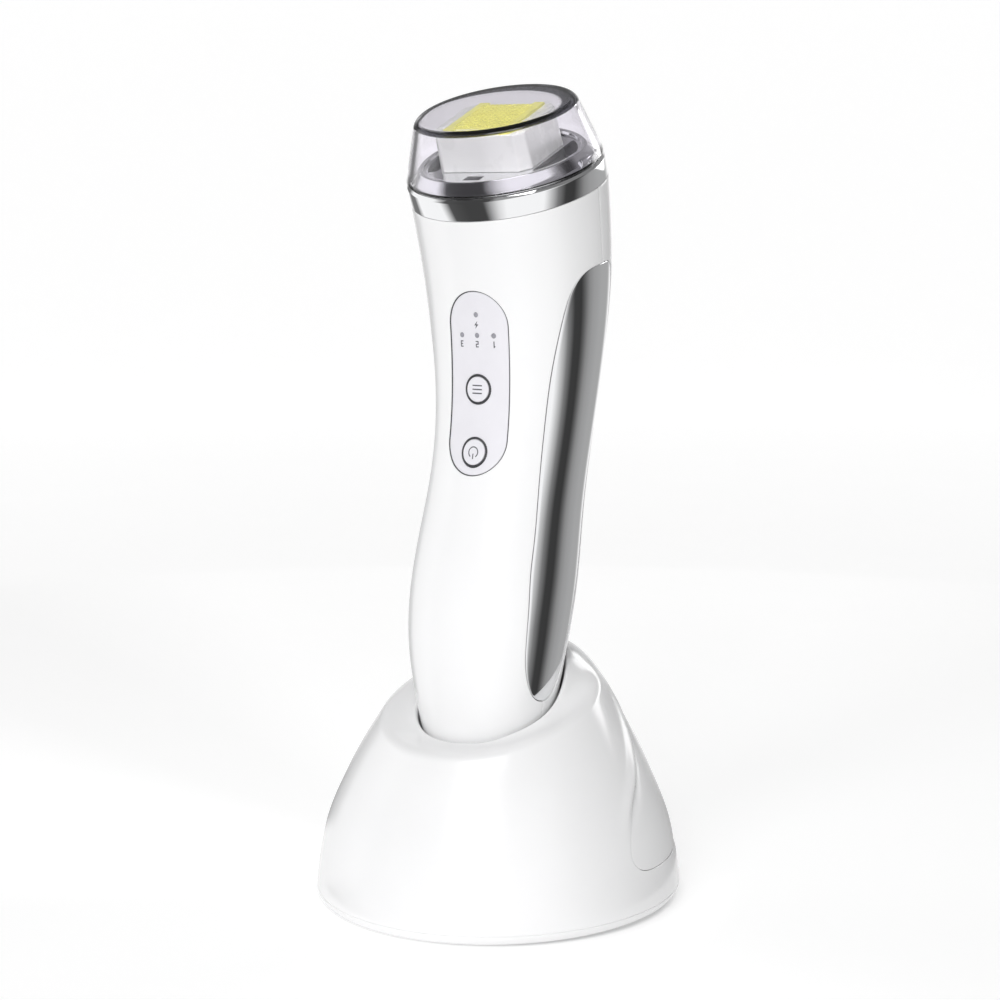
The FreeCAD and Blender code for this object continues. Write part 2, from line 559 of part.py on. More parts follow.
def screw(name, pos, axis, head_d, head_t, shank_d, length):
    """Pan head with a cross slot and a plain shank; the head sits at pos and the shank runs along axis."""
    hd = doc.addObject("Part::Cylinder", name + "_head")
    hd.setExpression("Radius", ex(head_d + " / 2"))
    hd.setExpression("Height", ex(head_t))
    sh = doc.addObject("Part::Cylinder", name + "_shank")
    sh.setExpression("Radius", ex(shank_d + " / 2"))
    sh.setExpression("Height", ex("%s + %s" % (length, head_t)))
    f = doc.addObject("Part::Fuse", name + "_blank")
    f.Base, f.Tool = hd, sh
    s1 = doc.addObject("Part::Box", name + "_slot_a")
    s2 = doc.addObject("Part::Box", name + "_slot_b")
    for o, l, w in ((s1, head_d + " * 0.62", head_d + " * 0.16"), (s2, head_d + " * 0.16", head_d + " * 0.62")):
        o.setExpression("Length", ex(l))
        o.setExpression("Width", ex(w))
        o.setExpression("Height", ex(head_t + " * 0.55"))
    dv = val(head_d)
    s1.Placement = Placement(Vector(-dv * 0.31, -dv * 0.08, 0), Rotation())
    s2.Placement = Placement(Vector(-dv * 0.08, -dv * 0.31, 0), Rotation())
    sl = doc.addObject("Part::Fuse", name + "_cross")
    sl.Base, sl.Tool = s1, s2
    c = doc.addObject("Part::Cut", name)
    c.Base, c.Tool = f, sl
    c.Placement = Placement(Vector(*pos), Rotation(Vector(0, 0, 1), Vector(*axis)))
    return c


compound("board_screws", [screw("bscrew_%d" % i, (x, bt + val("screw_head_t"), z), (0, -1, 0), "screw_head_d", "screw_head_t", "screw_d", "screw_len") for i, (x, z) in enumerate(board_bosses)])
compound("shell_screws", [screw("sscrew_%d" % i, (0, spine(z) + 4.0 + val("screw_head_t"), z), (0, -1, 0), "shell_head_d", "screw_head_t", "shell_screw_d", "screw_len * 2.2") for i, z in enumerate(screw_levels)])
plugs = []
for z in screw_levels:
    c = ycyl(0, z, val("plug_d"), spine(z) + 5, 45).common(form_0)
    plugs.append(c.common(ycyl(0, z, val("plug_d") + 2, max(v.Point.y for v in c.Vertexes) - val("plug_t"), 60)))
part_feature("screw_plugs", Part.makeCompound(plugs))

# coil former: two flanges and a core; winding round it
cz, cy = val("coil_z"), val("coil_y")


def zrod(name, x, y, z, dia, height):
    o = doc.addObject("Part::Cylinder", name)
    o.setExpression("Radius", ex("(%s) / 2" % dia))
    o.setExpression("Height", ex(height))
    o.Placement = Placement(Vector(x, y, z), Rotation())
    return o


former = doc.addObject("Part::MultiFuse", "coil_former")
former.Label = "coil_former"
former.Shapes = [zrod("former_low", 0, cy, cz, "coil_d", "coil_flange"), zrod("former_core", 0, cy, cz, "coil_core_d", "coil_h"),
                 zrod("former_top", 0, cy, cz + val("coil_h") - val("coil_flange"), "coil_d", "coil_flange")]
wind = doc.addObject("Part::Cut", "coil_winding")
wind.Label = "coil_winding"
wind.Base = zrod("winding_out", 0, cy, cz + val("coil_flange"), "winding_d", "coil_h - 2 * coil_flange")
wind.Tool = zrod("winding_in", 0, cy, cz + val("coil_flange"), "coil_core_d", "coil_h - 2 * coil_flange")

# battery and its cradle
cell = zrod("battery_can", 0, val("cell_y"), val("cell_z"), "cell_d", "cell_len - 1")
nub = zrod("battery_nub", 0, val("cell_y"), val("cell_z") + val("cell_len") - 1, "cell_d * 0.4", "1")
bat = doc.addObject("Part::Fuse", "battery_cell")
bat.Label = "battery_cell"
bat.Base, bat.Tool = cell, nub
g, w = val("holder_gap"), val("holder_wall")
cradle = doc.addObject("Part::Cut", "cradle_tube")
cradle.Base = zrod("cradle_out", 0, val("cell_y"), val("cell_z") - w - g, "cell_d + 2 * holder_gap + 2 * holder_wall", "cell_len + 2 * holder_gap + 2 * holder_wall")
cradle.Tool = zrod("cradle_in", 0, val("cell_y"), val("cell_z") - g, "cell_d + 2 * holder_gap", "cell_len + 2 * holder_gap")
half = box("cradle_half", "cell_d * 2", "cell_d", "cell_len * 1.2", (-val("cell_d"), val("cell_y") - val("cell_d"), val("cell_z") - 5))
hold = doc.addObject("Part::Cut", "battery_holder")
hold.Label = "battery_holder"
hold.Base, hold.Tool = cradle, half

# charging contacts in the foot of the handset
studs = []
for i, sx in enumerate((-1, 1)):
    x = sx * val("stud_x")
    f = doc.addObject("Part::Fuse", "stud_%d" % i)
    f.Base = zrod("stud_shank_%d" % i, x, val("contact_y"), val("stud_z"), "stud_d", "wall + 0.3")
    f.Tool = zrod("stud_head_%d" % i, x, val("contact_y"), LOW_Z + val("wall") + 0.15, "stud_head_d", "stud_head_t")
    studs.append(f)
compound("charge_contacts", studs)
cb = box("contact_block", "block_w", "block_d", "block_h", (-val("block_w") / 2, val("contact_y") - val("block_d") / 2, LOW_Z + val("wall") + 0.15 + val("stud_head_t")))
cb.Label = "contact_block"


# ---------------------------------------------------------------- head
def oval(name, a, b, h):
    o = doc.addObject("Part::Ellipse", name)
    o.setExpression("MajorRadius", ex(a))
    o.setExpression("MinorRadius", ex(b))
    o.Placement = Placement(Vector(0, 0, h), Rotation())
    return o


def oval_prism(name, a, b, h0, length):
    e = oval(name + "_oval", a, b, h0)
    f = doc.addObject("Part::Extrusion", name)
    f.Base = e
    f.DirMode = "Custom"
    f.Dir = Vector(0, 0, 1)
    f.Solid = True
    f.setExpression("LengthFwd", ex(length))
    return f


def oval_loft(name, sections):
    f = doc.addObject("Part::Loft", name)
    f.Sections = [oval("%s_s%d" % (name, i), a, b, h) for i, (a, b, h) in enumerate(sections)]
    f.Solid = True
    f.Ruled = True
    return f


def cut(name, base, tool, label=False):
    c = doc.addObject("Part::Cut", name)
    c.Base, c.Tool = base, tool
    if label:
        c.Label = name
    return c


def fuse(name, objs, label=False):
    c = doc.addObject("Part::MultiFuse", name)
    c.Shapes = objs
    if label:
        c.Label = name
    return c


rh = val("ring_h")
ring = cut("lower_trim_ring", oval_prism("ring_out", "head_a", "head_b", 0, "ring_h"),
           oval_prism("ring_in", "head_a - ring_wall", "head_b - ring_wall", 0, "ring_h"), True)
ring.Placement = head_placement()

c0 = rh + val("collar_base_t")
c1 = c0 + val("collar_h")
parts = [oval_prism("collar_base", "collar_base_a", "collar_base_b", rh, "collar_base_t"),
         oval_loft("collar_cone", [("collar_low_a", "collar_low_b", c0), ("collar_top_a", "collar_top_b", c1)]),
         oval_prism("collar_plug", "collar_plug_a", "collar_plug_b", rh - val("collar_plug_h"), "collar_plug_h")]
for i, sx in enumerate((-1, 1)):
    xin = val("collar_low_a") - 1.6
    parts.append(box("catch_%d" % i, "1.6 + catch_proud", "catch_w", "catch_t", (xin if sx > 0 else -xin - 1.6 - val("catch_proud"), -val("catch_w") / 2, c0 + 0.35)))
blank = fuse("collar_blank", parts)
tools = [oval_prism("collar_dish_tool", "collar_top_a - collar_rim", "collar_top_b - collar_rim", c1 - val("collar_dish"), "collar_dish + 1"),
         oval_prism("collar_plug_tool", "collar_plug_a - collar_plug_wall", "collar_plug_b - collar_plug_wall", rh - val("collar_plug_h") - 1, "collar_plug_h + 1"),
         box("collar_hole_tool", "collar_hole_w", "collar_hole_d", "20", (-val("collar_hole_w") / 2, -val("collar_hole_d") / 2, 0))]
for i, sy in enumerate((-1, 1)):
    ymid = sy * (val("hblock_d") / 2 + 3.6)
    tools.append(box("collar_slot_%d" % i, "slot_w", "slot_d", "5", (-val("slot_w") / 2, ymid - val("slot_d") / 2, c1 - val("collar_dish") - 1.2)))
collar = cut("head_collar", blank, fuse("collar_tools", tools), True)
collar.Placement = head_placement()

hb0 = c1 - val("collar_dish")
b = new_body("head_block")
s = new_sketch(b, "head_block_outline")
add_octagon(s, "hblock_w", "hblock_d", "hblock_cut", "hb", val("hblock_w"), val("hblock_d"), val("hblock_cut"))
pad(b, s, "head_block_pad", "hblock_h", "-1 * hblock_draft")
s = new_sketch(b, "head_block_hollow")
add_octagon(s, "hblock_w - 2 * hblock_wall", "hblock_d - 2 * hblock_wall", "hblock_cut - 0.6", "hh",
            val("hblock_w") - 4, val("hblock_d") - 4, val("hblock_cut") - 0.6)
pocket(b, s, "head_block_pocket", "hblock_h - hblock_roof", True)
b.Placement = head_placement(hb0)

import Sketcher
b = new_body("electrode_plate")
s = new_sketch(b, "electrode_outline")
x, y, tw, tb = val("plate_w") / 2, val("plate_d") / 2, val("plate_tab_w"), val("plate_tab")
loop = [(-x, -y - tb), (-x + tw, -y - tb), (-x + tw, -y), (x - tw, -y), (x - tw, -y - tb), (x, -y - tb),
        (x, y + tb), (x - tw, y + tb), (x - tw, y), (-x + tw, y), (-x + tw, y + tb), (-x, y + tb)]
n = len(loop)
gl = [s.addGeometry(Part.LineSegment(Vector(loop[i][0], loop[i][1], 0), Vector(loop[(i + 1) % n][0], loop[(i + 1) % n][1], 0)), False) for i in range(n)]
for i in range(n):
    s.addConstraint(Sketcher.Constraint("Coincident", gl[i], 2, gl[(i + 1) % n], 1))
for i in range(n):
    s.addConstraint(Sketcher.Constraint("Horizontal" if i % 2 == 0 else "Vertical", gl[i]))
s.addConstraint(Sketcher.Constraint("Symmetric", gl[0], 1, gl[6], 1, -1, 1))
bind(s, s.addConstraint(Sketcher.Constraint("DistanceX", gl[11], 2, gl[5], 1, 2 * x)), "ep_w", "plate_w")
bind(s, s.addConstraint(Sketcher.Constraint("DistanceY", gl[5], 1, gl[5], 2, 2 * (y + tb))), "ep_d", "plate_d + 2 * plate_tab")
for k, i in enumerate((0, 4, 6, 10)):
    ends = (1, 2) if loop[(i + 1) % n][0] > loop[i][0] else (2, 1)
    bind(s, s.addConstraint(Sketcher.Constraint("DistanceX", gl[i], ends[0], gl[i], ends[1], tw)), "ep_tab%d" % k, "plate_tab_w")
for k, i in enumerate((1, 7)):
    ends = (1, 2) if loop[(i + 1) % n][1] > loop[i][1] else (2, 1)
    bind(s, s.addConstraint(Sketcher.Constraint("DistanceY", gl[i], ends[0], gl[i], ends[1], tb)), "ep_notch%d" % k, "plate_tab")
pad(b, s, "electrode_pad", "plate_t")
s = new_sketch(b, "electrode_dots")
nd, pitch = int(val("dot_count")), val("dot_pitch")
for i in range(nd):
    for j in range(nd):
        s.addGeometry(Part.Circle(Vector((i - (nd - 1) / 2.0) * pitch, (j - (nd - 1) / 2.0) * pitch, 0), Vector(0, 0, 1), val("dot_d") / 2), False)
pad(b, s, "electrode_dot_pad", "plate_t + dot_h")
b.Placement = head_placement(hb0 + val("hblock_h"))

b = new_body("head_board")
s = new_sketch(b, "head_board_outline")
add_rect(s, "hboard_w", "hboard_d", "hd")
pad(b, s, "head_board_pad", "hboard_t")
b.Placement = head_placement(hb0 + val("hboard_h"))

leads = []
for i, sx in enumerate((-1, 1)):
    p0 = Vector(sx * val("lead_x"), cy, cz + val("coil_h") + 0.05)
    p1 = head_placement(hb0 + val("hboard_h") - 0.35).multVec(Vector(sx * val("lead_x"), 0, 0))
    d = p1 - p0
    o = doc.addObject("Part::Cylinder", "lead_%d" % i)
    o.setExpression("Radius", ex("lead_d / 2"))
    o.Height = d.Length
    o.Placement = Placement(p0, Rotation(Vector(0, 0, 1), d))
    leads.append(o)
compound("head_leads", leads)

# clear cap: tapered cup with a rounded shoulder
k0, k1 = val("cap_foot"), val("cap_top")
rr = val("cap_round")
f_ = lambda h: (h - k0) / (k1 - k0)
secs = [("cap_low_a", "cap_low_b", k0)]
steps = [(k1 - rr, 0.0), (k1 - rr * 0.62, 0.075), (k1 - rr * 0.30, 0.286), (k1 - rr * 0.075, 0.62), (k1, 1.0)]
for h, inset in steps:
    fr = f_(h)
    secs.append(("cap_low_a + (cap_top_a - cap_low_a) * %.5f - cap_round * %.3f" % (fr, inset), "cap_low_b + (cap_top_b - cap_low_b) * %.5f - cap_round * %.3f" % (fr, inset), h))
cap_out = oval_loft("cap_out", secs)
fr = f_(k1 - val("cap_roof"))
cap_in = oval_loft("cap_in", [("cap_low_a - cap_wall + (cap_low_a - cap_top_a) * 0.07", "cap_low_b - cap_wall + (cap_low_b - cap_top_b) * 0.07", k0 - 1.0),
                              ("cap_low_a + (cap_top_a - cap_low_a) * %.5f - cap_wall" % fr, "cap_low_b + (cap_top_b - cap_low_b) * %.5f - cap_wall" % fr, k1 - val("cap_roof"))])
cap = cut("protective_cap", cap_out, cap_in, True)
cap.Placement = head_placement()

# ---------------------------------------------------------------- charging base form
bz_ = row("base_z", 9)
dome_a = monotone_spline(bz_, row("base_a", 9))
dome_r = parabola(*row("base_ratio", 3))
dome_y = parabola(*row("base_yc", 3))
well = natural_spline(row("well_y", 12), row("well_z", 12))
RIM_T = math.tan(math.radians(val("rim_tilt")))
RIM_Z = val("rim_z")
N_BASE = 56
BANG = [math.radians(-63) + 2 * math.pi * i / N_BASE for i in range(N_BASE)]


def dome(z, t, off=0.0):
    a = dome_a(z)
    return Vector((a - off) * math.cos(t), dome_y(z) + (a * dome_r(z) - off) * math.sin(t), z)


def rim_height(t):
    lo, hi = 20.0, 74.0
    for _ in range(50):
        m = (lo + hi) / 2
        if m < RIM_Z + RIM_T * dome(m, t).y:
            lo = m
        else:
            hi = m
    return (lo + hi) / 2


def well_edge(t, gap):
    z = 50.0
    for _ in range(60):
        y = spine(z) + (half_d(z) + gap) * math.sin(t)
        z = 0.6 * z + 0.4 * well(max(min(y, 15.6), -26.3))
    return Vector((half_w(z) + gap) * math.cos(t), spine(z) + (half_d(z) + gap) * math.sin(t), z)


def well_point(z, t, gap):
    return Vector((half_w(z) + gap) * math.cos(t), spine(z) + (half_d(z) + gap) * math.sin(t), z)


def base_rings(z0):
    rings = []
    rim = [rim_height(t) for t in BANG]
    start = [z - val("lip_back") for z in rim]
    for v in (0.0, 0.07, 0.16, 0.28, 0.42, 0.56, 0.70, 0.84, 1.0):
        rings.append([dome(z0 + (zs - z0) * v, t) for zs, t in zip(start, BANG)])
    curves = []
    for zs, t in zip(start, BANG):
        p0 = dome(zs, t)
        d = dome(zs + 0.2, t) - p0
        d.normalize()
        p3 = well_edge(t, val("well_lip"))
        o = Vector(p0.x - p3.x, p0.y - p3.y, 0)
        o.normalize()
        p1 = p0 + d * val("lip_reach")
        p2 = p3 + o * val("dish_reach") + Vector(0, 0, -0.25)
        curves.append((p0, p1, p2, p3))
    for u in (0.16, 0.32, 0.5, 0.68, 0.85, 1.0):
        ring_ = []
        for p0, p1, p2, p3 in curves:
            w = 1 - u
            ring_.append(p0 * w ** 3 + p1 * (3 * w * w * u) + p2 * (3 * w * u * u) + p3 * u ** 3)
        rings.append(ring_)
    edge = [c[3].z for c in curves]
    gap = val("well_gap")
    rings.append([well_point(z - 0.35, t, gap + 0.22) for z, t in zip(edge, BANG)])
    rings.append([well_point(z - 1.1, t, gap) for z, t in zip(edge, BANG)])
    fz = val("well_floor_z")
    for k in (0.75, 0.5, 0.27, 0.1):
        rings.append([well_point(fz + (z - 1.1 - fz) * k, t, gap) for z, t in zip(edge, BANG)])
    rings.append([well_point(fz + 0.15, t, gap - 0.15) for t in BANG])
    rings.append([well_point(fz, t, gap - 0.6) for t in BANG])
    return rings


def dome_solid(off, z0, z1, n=14):
    return skin([[dome(z0 + (z1 - z0) * i / (n - 1.0), t, off) for t in BANG] for i in range(n)])


body = skin(base_rings(val("seam_z")))
cavity = dome_solid(val("base_wall"), val("seam_z") - 1.0, 60.0)
drop = Part.makeBox(160, 160, 120, Vector(-80, -80, 0))
drop.Placement = Placement(Vector(0, 0, RIM_Z - 3.9), Rotation(Vector(1, 0, 0), val("rim_tilt")))
cavity = cavity.cut(drop)
guard = skin([[well_point(z, t, val("well_gap") + val("well_wall")) for t in BANG] for z in (val("well_floor_z") - val("well_wall"), 36, 42, 48, 54, 60, 66)])
columns = [zcyl(sx * val("bscrew_pos"), sy * val("bscrew_pos"), val("column_d"), 0, 60) for sx in (-1, 1) for sy in (-1, 1)]
cavity = cavity.cut([guard] + columns)
shell = body.cut(cavity)


def rear_prism(grow):
    ys, zs = row("rear_y", 15), row("rear_z", 15)
    pts = [Vector(0, ys[i], zs[i]) for i in range(15)]
    out = []
    for i, p in enumerate(pts):
        q, r = pts[max(i - 1, 0)], pts[min(i + 1, 14)]
        d = r - q
        nrm = Vector(0, d.z, -d.y)
        nrm.normalize()
        out.append(p + nrm * grow)
    c = Part.BSplineCurve()
    c.interpolate(Points=out)
    top = val("rear_top_z") + grow
    low = out[-1].z
    b1, b2, b3 = Vector(0, 25.5, top), Vector(0, 70, top), Vector(0, 70, low)
    arc = Part.BSplineCurve()
    arc.interpolate(Points=[b1, Vector(0, 22.0, top - 0.55), out[0]])
    f = Part.Face(Part.Wire([c.toShape(), Part.makeLine(out[-1], b3), Part.makeLine(b3, b2), Part.makeLine(b2, b1), arc.toShape()]))
    f.translate(Vector(-60, 0, 0))
    return f.extrude(Vector(120, 0, 0))


p_small, p_big = rear_prism(0.0), rear_prism(val("rear_gap"))
if p_big.Volume < p_small.Volume:
    p_big = rear_prism(-val("rear_gap"))
dome_sink = dome_solid(val("rear_sink"), 5.0, 66.0)
dome_back = dome_solid(val("rear_back"), 5.0, 66.0)
dome_floor = dome_solid(val("rear_back") + 0.06, 5.0, 66.0)
recess = p_big.cut(dome_floor)
zsock = val("cboard_z") + val("cboard_t") + val("socket_h") / 2
face_y = dome(zsock, math.pi / 2).y - val("rear_sink")


def socket_solid(w, h, y0, y1, zc):
    r = h / 2.0
    hh = w / 2.0 - r
    c = Part.makeBox(2 * hh, y1 - y0, h, Vector(-hh, y0, zc - r))
    return c.fuse([ycyl(-hh, zc, h, y0, y1), ycyl(hh, zc, h, y0, y1)]).removeSplitter()


clear = val("socket_clear")
port = socket_solid(val("socket_w") + 2 * clear, val("socket_h") + 2 * clear, 25, 60, zsock)
pin_x = [-val("stud_x"), val("stud_x")]
py = val("contact_y")
shell = shell.cut([recess, port]
                  + [zcyl(x, py, val("pin_hole"), 25, 40) for x in pin_x]
                  + [zcyl(sx * val("bscrew_pos"), sy * val("bscrew_pos"), val("bscrew_bore"), 0, 13.5) for sx in (-1, 1) for sy in (-1, 1)])
part_feature("base_shell", shell)
cover = dome_sink.common(p_small).cut([dome_back, port])
part_feature("base_rear_cover", cover)

# floor of the base with an upstanding lip, pillars, screw and foot recesses
fz0, fz1 = val("base_foot_z"), val("seam_z")
plate = skin([[dome(z, t, 0.9 * (1 - min((z - fz0) / 0.8, 1.0)) ** 2) for t in BANG] for z in (fz0, fz0 + 0.25, fz0 + 0.8, 2.1, fz1)])
lo = val("base_wall") + val("floor_lip_gap")
lip = dome_solid(lo, fz1 - 0.5, fz1 + val("floor_lip_h"), 4).cut(dome_solid(lo + val("floor_lip_t"), fz1 - 1.0, fz1 + val("floor_lip_h") + 1, 4))
lip = lip.cut([zcyl(sx * val("bscrew_pos"), sy * val("bscrew_pos"), val("column_d") + 1.0, 0, 20) for sx in (-1, 1) for sy in (-1, 1)])
pillars = [zcyl(sx * val("pillar_x"), y_, val("pillar_d"), fz1 - 0.5, val("cboard_z")) for sx in (-1, 1) for y_ in (val("pillar_y_front"), val("pillar_y_back"))]
floor = plate.fuse([lip] + pillars)
fp = val("foot_pos")
feet_at = [(fp, 0), (-fp, 0), (0, fp), (0, -fp)]
holes = [zcyl(x, y_, val("foot_pocket_d"), -1, val("foot_h")) for x, y_ in feet_at]
for sx in (-1, 1):
    for sy in (-1, 1):
        holes.append(zcyl(sx * val("bscrew_pos"), sy * val("bscrew_pos"), val("bscrew_pass"), -1, 20))
        holes.append(zcyl(sx * val("bscrew_pos"), sy * val("bscrew_pos"), val("bscrew_cbore_d"), -1, fz0 + val("bscrew_cbore_t")))
    for y_ in (val("pillar_y_front"), val("pillar_y_back")):
        holes.append(zcyl(sx * val("pillar_x"), y_, val("pillar_bore"), val("cboard_z") - 6.5, val("cboard_z") + 1))
part_feature("base_floor", floor.cut(holes))
compound("rubber_feet", [zrod("foot_%d" % i, x, y_, 0, "foot_d", "foot_h") for i, (x, y_) in enumerate(feet_at)])
compound("base_screws", [screw("fscrew_%d%d" % (i, j), (sx * val("bscrew_pos"), sy * val("bscrew_pos"), fz0 + val("bscrew_cbore_t") - val("bscrew_head_t")), (0, 0, 1),
                               "bscrew_head_d", "bscrew_head_t", "bscrew_d", "bscrew_len") for i, sx in enumerate((-1, 1)) for j, sy in enumerate((-1, 1))])

b = new_body("charge_board")
s = new_sketch(b, "charge_board_outline")
add_rect(s, "cboard_w", "cboard_y_back - cboard_y_front", "cbd")
ymid = (val("cboard_y_back") + val("cboard_y_front")) / 2
k = 0
for sx in (-1, 1):
    for cell_ in ("pillar_y_front", "pillar_y_back"):
        add_circle(s, "%d * pillar_x" % sx, "%s - (cboard_y_back + cboard_y_front) / 2" % cell_, "cscrew_pass", "cbh%d" % k, sx * val("pillar_x"), val(cell_) - ymid)
        k += 1
pad(b, s, "charge_board_pad", "cboard_t")
b.Placement = Placement(Vector(0, ymid, val("cboard_z")), Rotation())
ctop = val("cboard_z") + val("cboard_t")
compound("charge_board_screws", [screw("cscrew_%d%d" % (i, j), (sx * val("pillar_x"), y_, ctop + val("cscrew_head_t")), (0, 0, -1), "cscrew_head_d", "cscrew_head_t", "cscrew_d", "cscrew_len")
                                 for i, sx in enumerate((-1, 1)) for j, y_ in enumerate((val("pillar_y_front"), val("pillar_y_back")))])

# socket for the supply lead
sock_y0 = face_y - 0.15 - val("socket_len")
outer = socket_solid(val("socket_w"), val("socket_h"), sock_y0, face_y - 0.15, zsock)
inner = socket_solid(val("socket_w") - 2 * val("socket_t"), val("socket_h") - 2 * val("socket_t"), sock_y0 + 0.8, face_y + 2, zsock)
part_feature("usb_socket", outer.cut(inner))
tg = box("socket_tongue", "tongue_w", "tongue_len", "tongue_h", (-val("tongue_w") / 2, sock_y0 + 0.8, zsock - val("tongue_h") / 2))
tg.Label = "socket_tongue"

# sprung charging pins
b = new_body("pin_housing")
s = new_sketch(b, "pin_housing_outline")
add_rect(s, "housing_w", "housing_d", "ph")
pad(b, s, "pin_housing_pad", "housing_top - housing_z")
s = new_sketch(b, "pin_housing_bores", "pin_bore_floor_z - housing_z")
add_circle(s, "-1 * stud_x", "0", "pin_bore_d", "pb0", -val("stud_x"), 0)
add_circle(s, "stud_x", "0", "pin_bore_d", "pb1", val("stud_x"), 0)
pocket(b, s, "pin_housing_bore_cut", "pin_shoulder_z - pin_bore_floor_z", True)
s = new_sketch(b, "pin_housing_necks", "pin_shoulder_z - housing_z - 0.2")
add_circle(s, "-1 * stud_x", "0", "pin_hole", "pn0", -val("stud_x"), 0)
add_circle(s, "stud_x", "0", "pin_hole", "pn1", val("stud_x"), 0)
pocket(b, s, "pin_housing_neck_cut", "housing_top - pin_shoulder_z + 1", True)
b.Placement = Placement(Vector(0, py, val("housing_z")), Rotation())

flange_top = val("pin_shoulder_z") - 0.06
flange_bot = flange_top - val("pin_flange_t")
for name, x in (("contact_pin_left", pin_x[0]), ("contact_pin_right", pin_x[1])):
    r = val("pin_d") / 2
    sh = zcyl(x, py, val("pin_d"), flange_bot, val("pin_top_z") - 0.4)
    tip = Part.makeCone(r, r * 0.45, 0.4, Vector(x, py, val("pin_top_z") - 0.4))
    part_feature(name, sh.fuse([tip, zcyl(x, py, val("pin_flange_d"), flange_bot, flange_top)]).removeSplitter())

wire = val("spring_wire")
z0 = val("pin_bore_floor_z") + wire / 2 + 0.03
z1 = flange_bot - wire / 2 - 0.03
rs = val("spring_d") / 2
turns = val("spring_turns")
for name, x in (("contact_spring_left", pin_x[0]), ("contact_spring_right", pin_x[1])):
    helix = Part.makeHelix((z1 - z0) / turns, z1 - z0, rs)
    prof = Part.Wire([Part.makeCircle(wire / 2, Vector(rs, 0, 0), Vector(0, 1, 0))])
    coil = Part.Wire(helix.Edges).makePipeShell([prof], True, True)
    coil.translate(Vector(x, py, z0))
    part_feature(name, coil)

# ---------------------------------------------------------------- write the nodes
doc.recompute()
NODES = ["front_shell", "rear_shell", "side_electrode_left", "side_electrode_right", "control_panel", "button_bezels",
         "charge_light", "level_lights", "main_board", "board_chips", "switch_bodies", "indicator_leds", "board_screws",
         "coil_former", "coil_winding", "head_leads", "battery_cell", "battery_holder", "charge_contacts", "contact_block",
         "shell_screws", "screw_plugs", "lower_trim_ring", "head_collar", "head_block", "head_board", "electrode_plate",
         "mode_button", "mode_plunger", "power_button", "power_plunger", "protective_cap",
         "base_shell", "base_rear_cover", "base_floor", "rubber_feet", "base_screws", "charge_board", "charge_board_screws",
         "usb_socket", "socket_tongue", "pin_housing", "contact_pin_left", "contact_pin_right",
         "contact_spring_left", "contact_spring_right"]
for o in doc.Objects:
    if "Invalid" in o.State or "Error" in o.State:
        raise RuntimeError("bad object " + o.Label + " " + str(o.State))
os.makedirs("parts", exist_ok=True)
for name in NODES:
    o = doc.getObjectsByLabel(name)[0]
    sh = o.Shape
    if sh.isNull() or not sh.isValid():
        raise RuntimeError("bad shape " + name)
    sh.exportStep("parts/%s.step" % name)
    bb = sh.BoundBox
    print("%-22s solids %d vol %9.1f  x %.1f..%.1f y %.1f..%.1f z %.1f..%.1f" % (name, len(sh.Solids), sh.Volume, bb.XMin, bb.XMax, bb.YMin, bb.YMax, bb.ZMin, bb.ZMax))
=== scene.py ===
import math

import bmesh
import bpy
import numpy as np
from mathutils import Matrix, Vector
from mathutils.geometry import delaunay_2d_cdt


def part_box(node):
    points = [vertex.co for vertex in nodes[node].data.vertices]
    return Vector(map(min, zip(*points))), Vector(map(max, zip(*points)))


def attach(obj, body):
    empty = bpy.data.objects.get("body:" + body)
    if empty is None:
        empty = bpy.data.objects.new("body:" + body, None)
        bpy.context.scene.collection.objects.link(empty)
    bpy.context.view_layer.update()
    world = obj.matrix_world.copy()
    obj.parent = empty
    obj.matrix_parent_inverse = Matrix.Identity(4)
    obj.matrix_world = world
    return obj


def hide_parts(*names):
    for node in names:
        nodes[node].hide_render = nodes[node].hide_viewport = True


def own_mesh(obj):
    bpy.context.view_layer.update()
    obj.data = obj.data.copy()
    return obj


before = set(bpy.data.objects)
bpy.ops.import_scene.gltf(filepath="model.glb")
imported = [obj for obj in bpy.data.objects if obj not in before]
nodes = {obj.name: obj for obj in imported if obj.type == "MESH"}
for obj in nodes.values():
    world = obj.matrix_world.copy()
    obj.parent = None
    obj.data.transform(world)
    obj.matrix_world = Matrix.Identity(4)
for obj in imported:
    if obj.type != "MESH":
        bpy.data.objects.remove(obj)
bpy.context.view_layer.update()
scene = bpy.context.scene
MM = 0.001
PI = math.pi


# ------------------------------------------------------------------ curves
class Natural:
    """Natural cubic spline, the form's own curve in height."""

    def __init__(self, xs, ys):
        self.x, self.y = np.array(xs, float), np.array(ys, float)
        n = len(xs)
        h = np.diff(self.x)
        m = np.eye(n)
        r = np.zeros(n)
        for i in range(1, n - 1):
            m[i, i - 1], m[i, i], m[i, i + 1] = h[i - 1], 2 * (h[i - 1] + h[i]), h[i]
            r[i] = 6 * ((ys[i + 1] - ys[i]) / h[i] - (ys[i] - ys[i - 1]) / h[i - 1])
        self.m, self.h = np.linalg.solve(m, r), h

    def __call__(self, x):
        x = np.asarray(x, float)
        i = np.clip(np.searchsorted(self.x, x) - 1, 0, len(self.h) - 1)
        h = self.h[i]
        a, b = (self.x[i + 1] - x) / h, (x - self.x[i]) / h
        return (a * self.y[i] + b * self.y[i + 1]
                + ((a ** 3 - a) * self.m[i] + (b ** 3 - b) * self.m[i + 1]) * h ** 2 / 6)


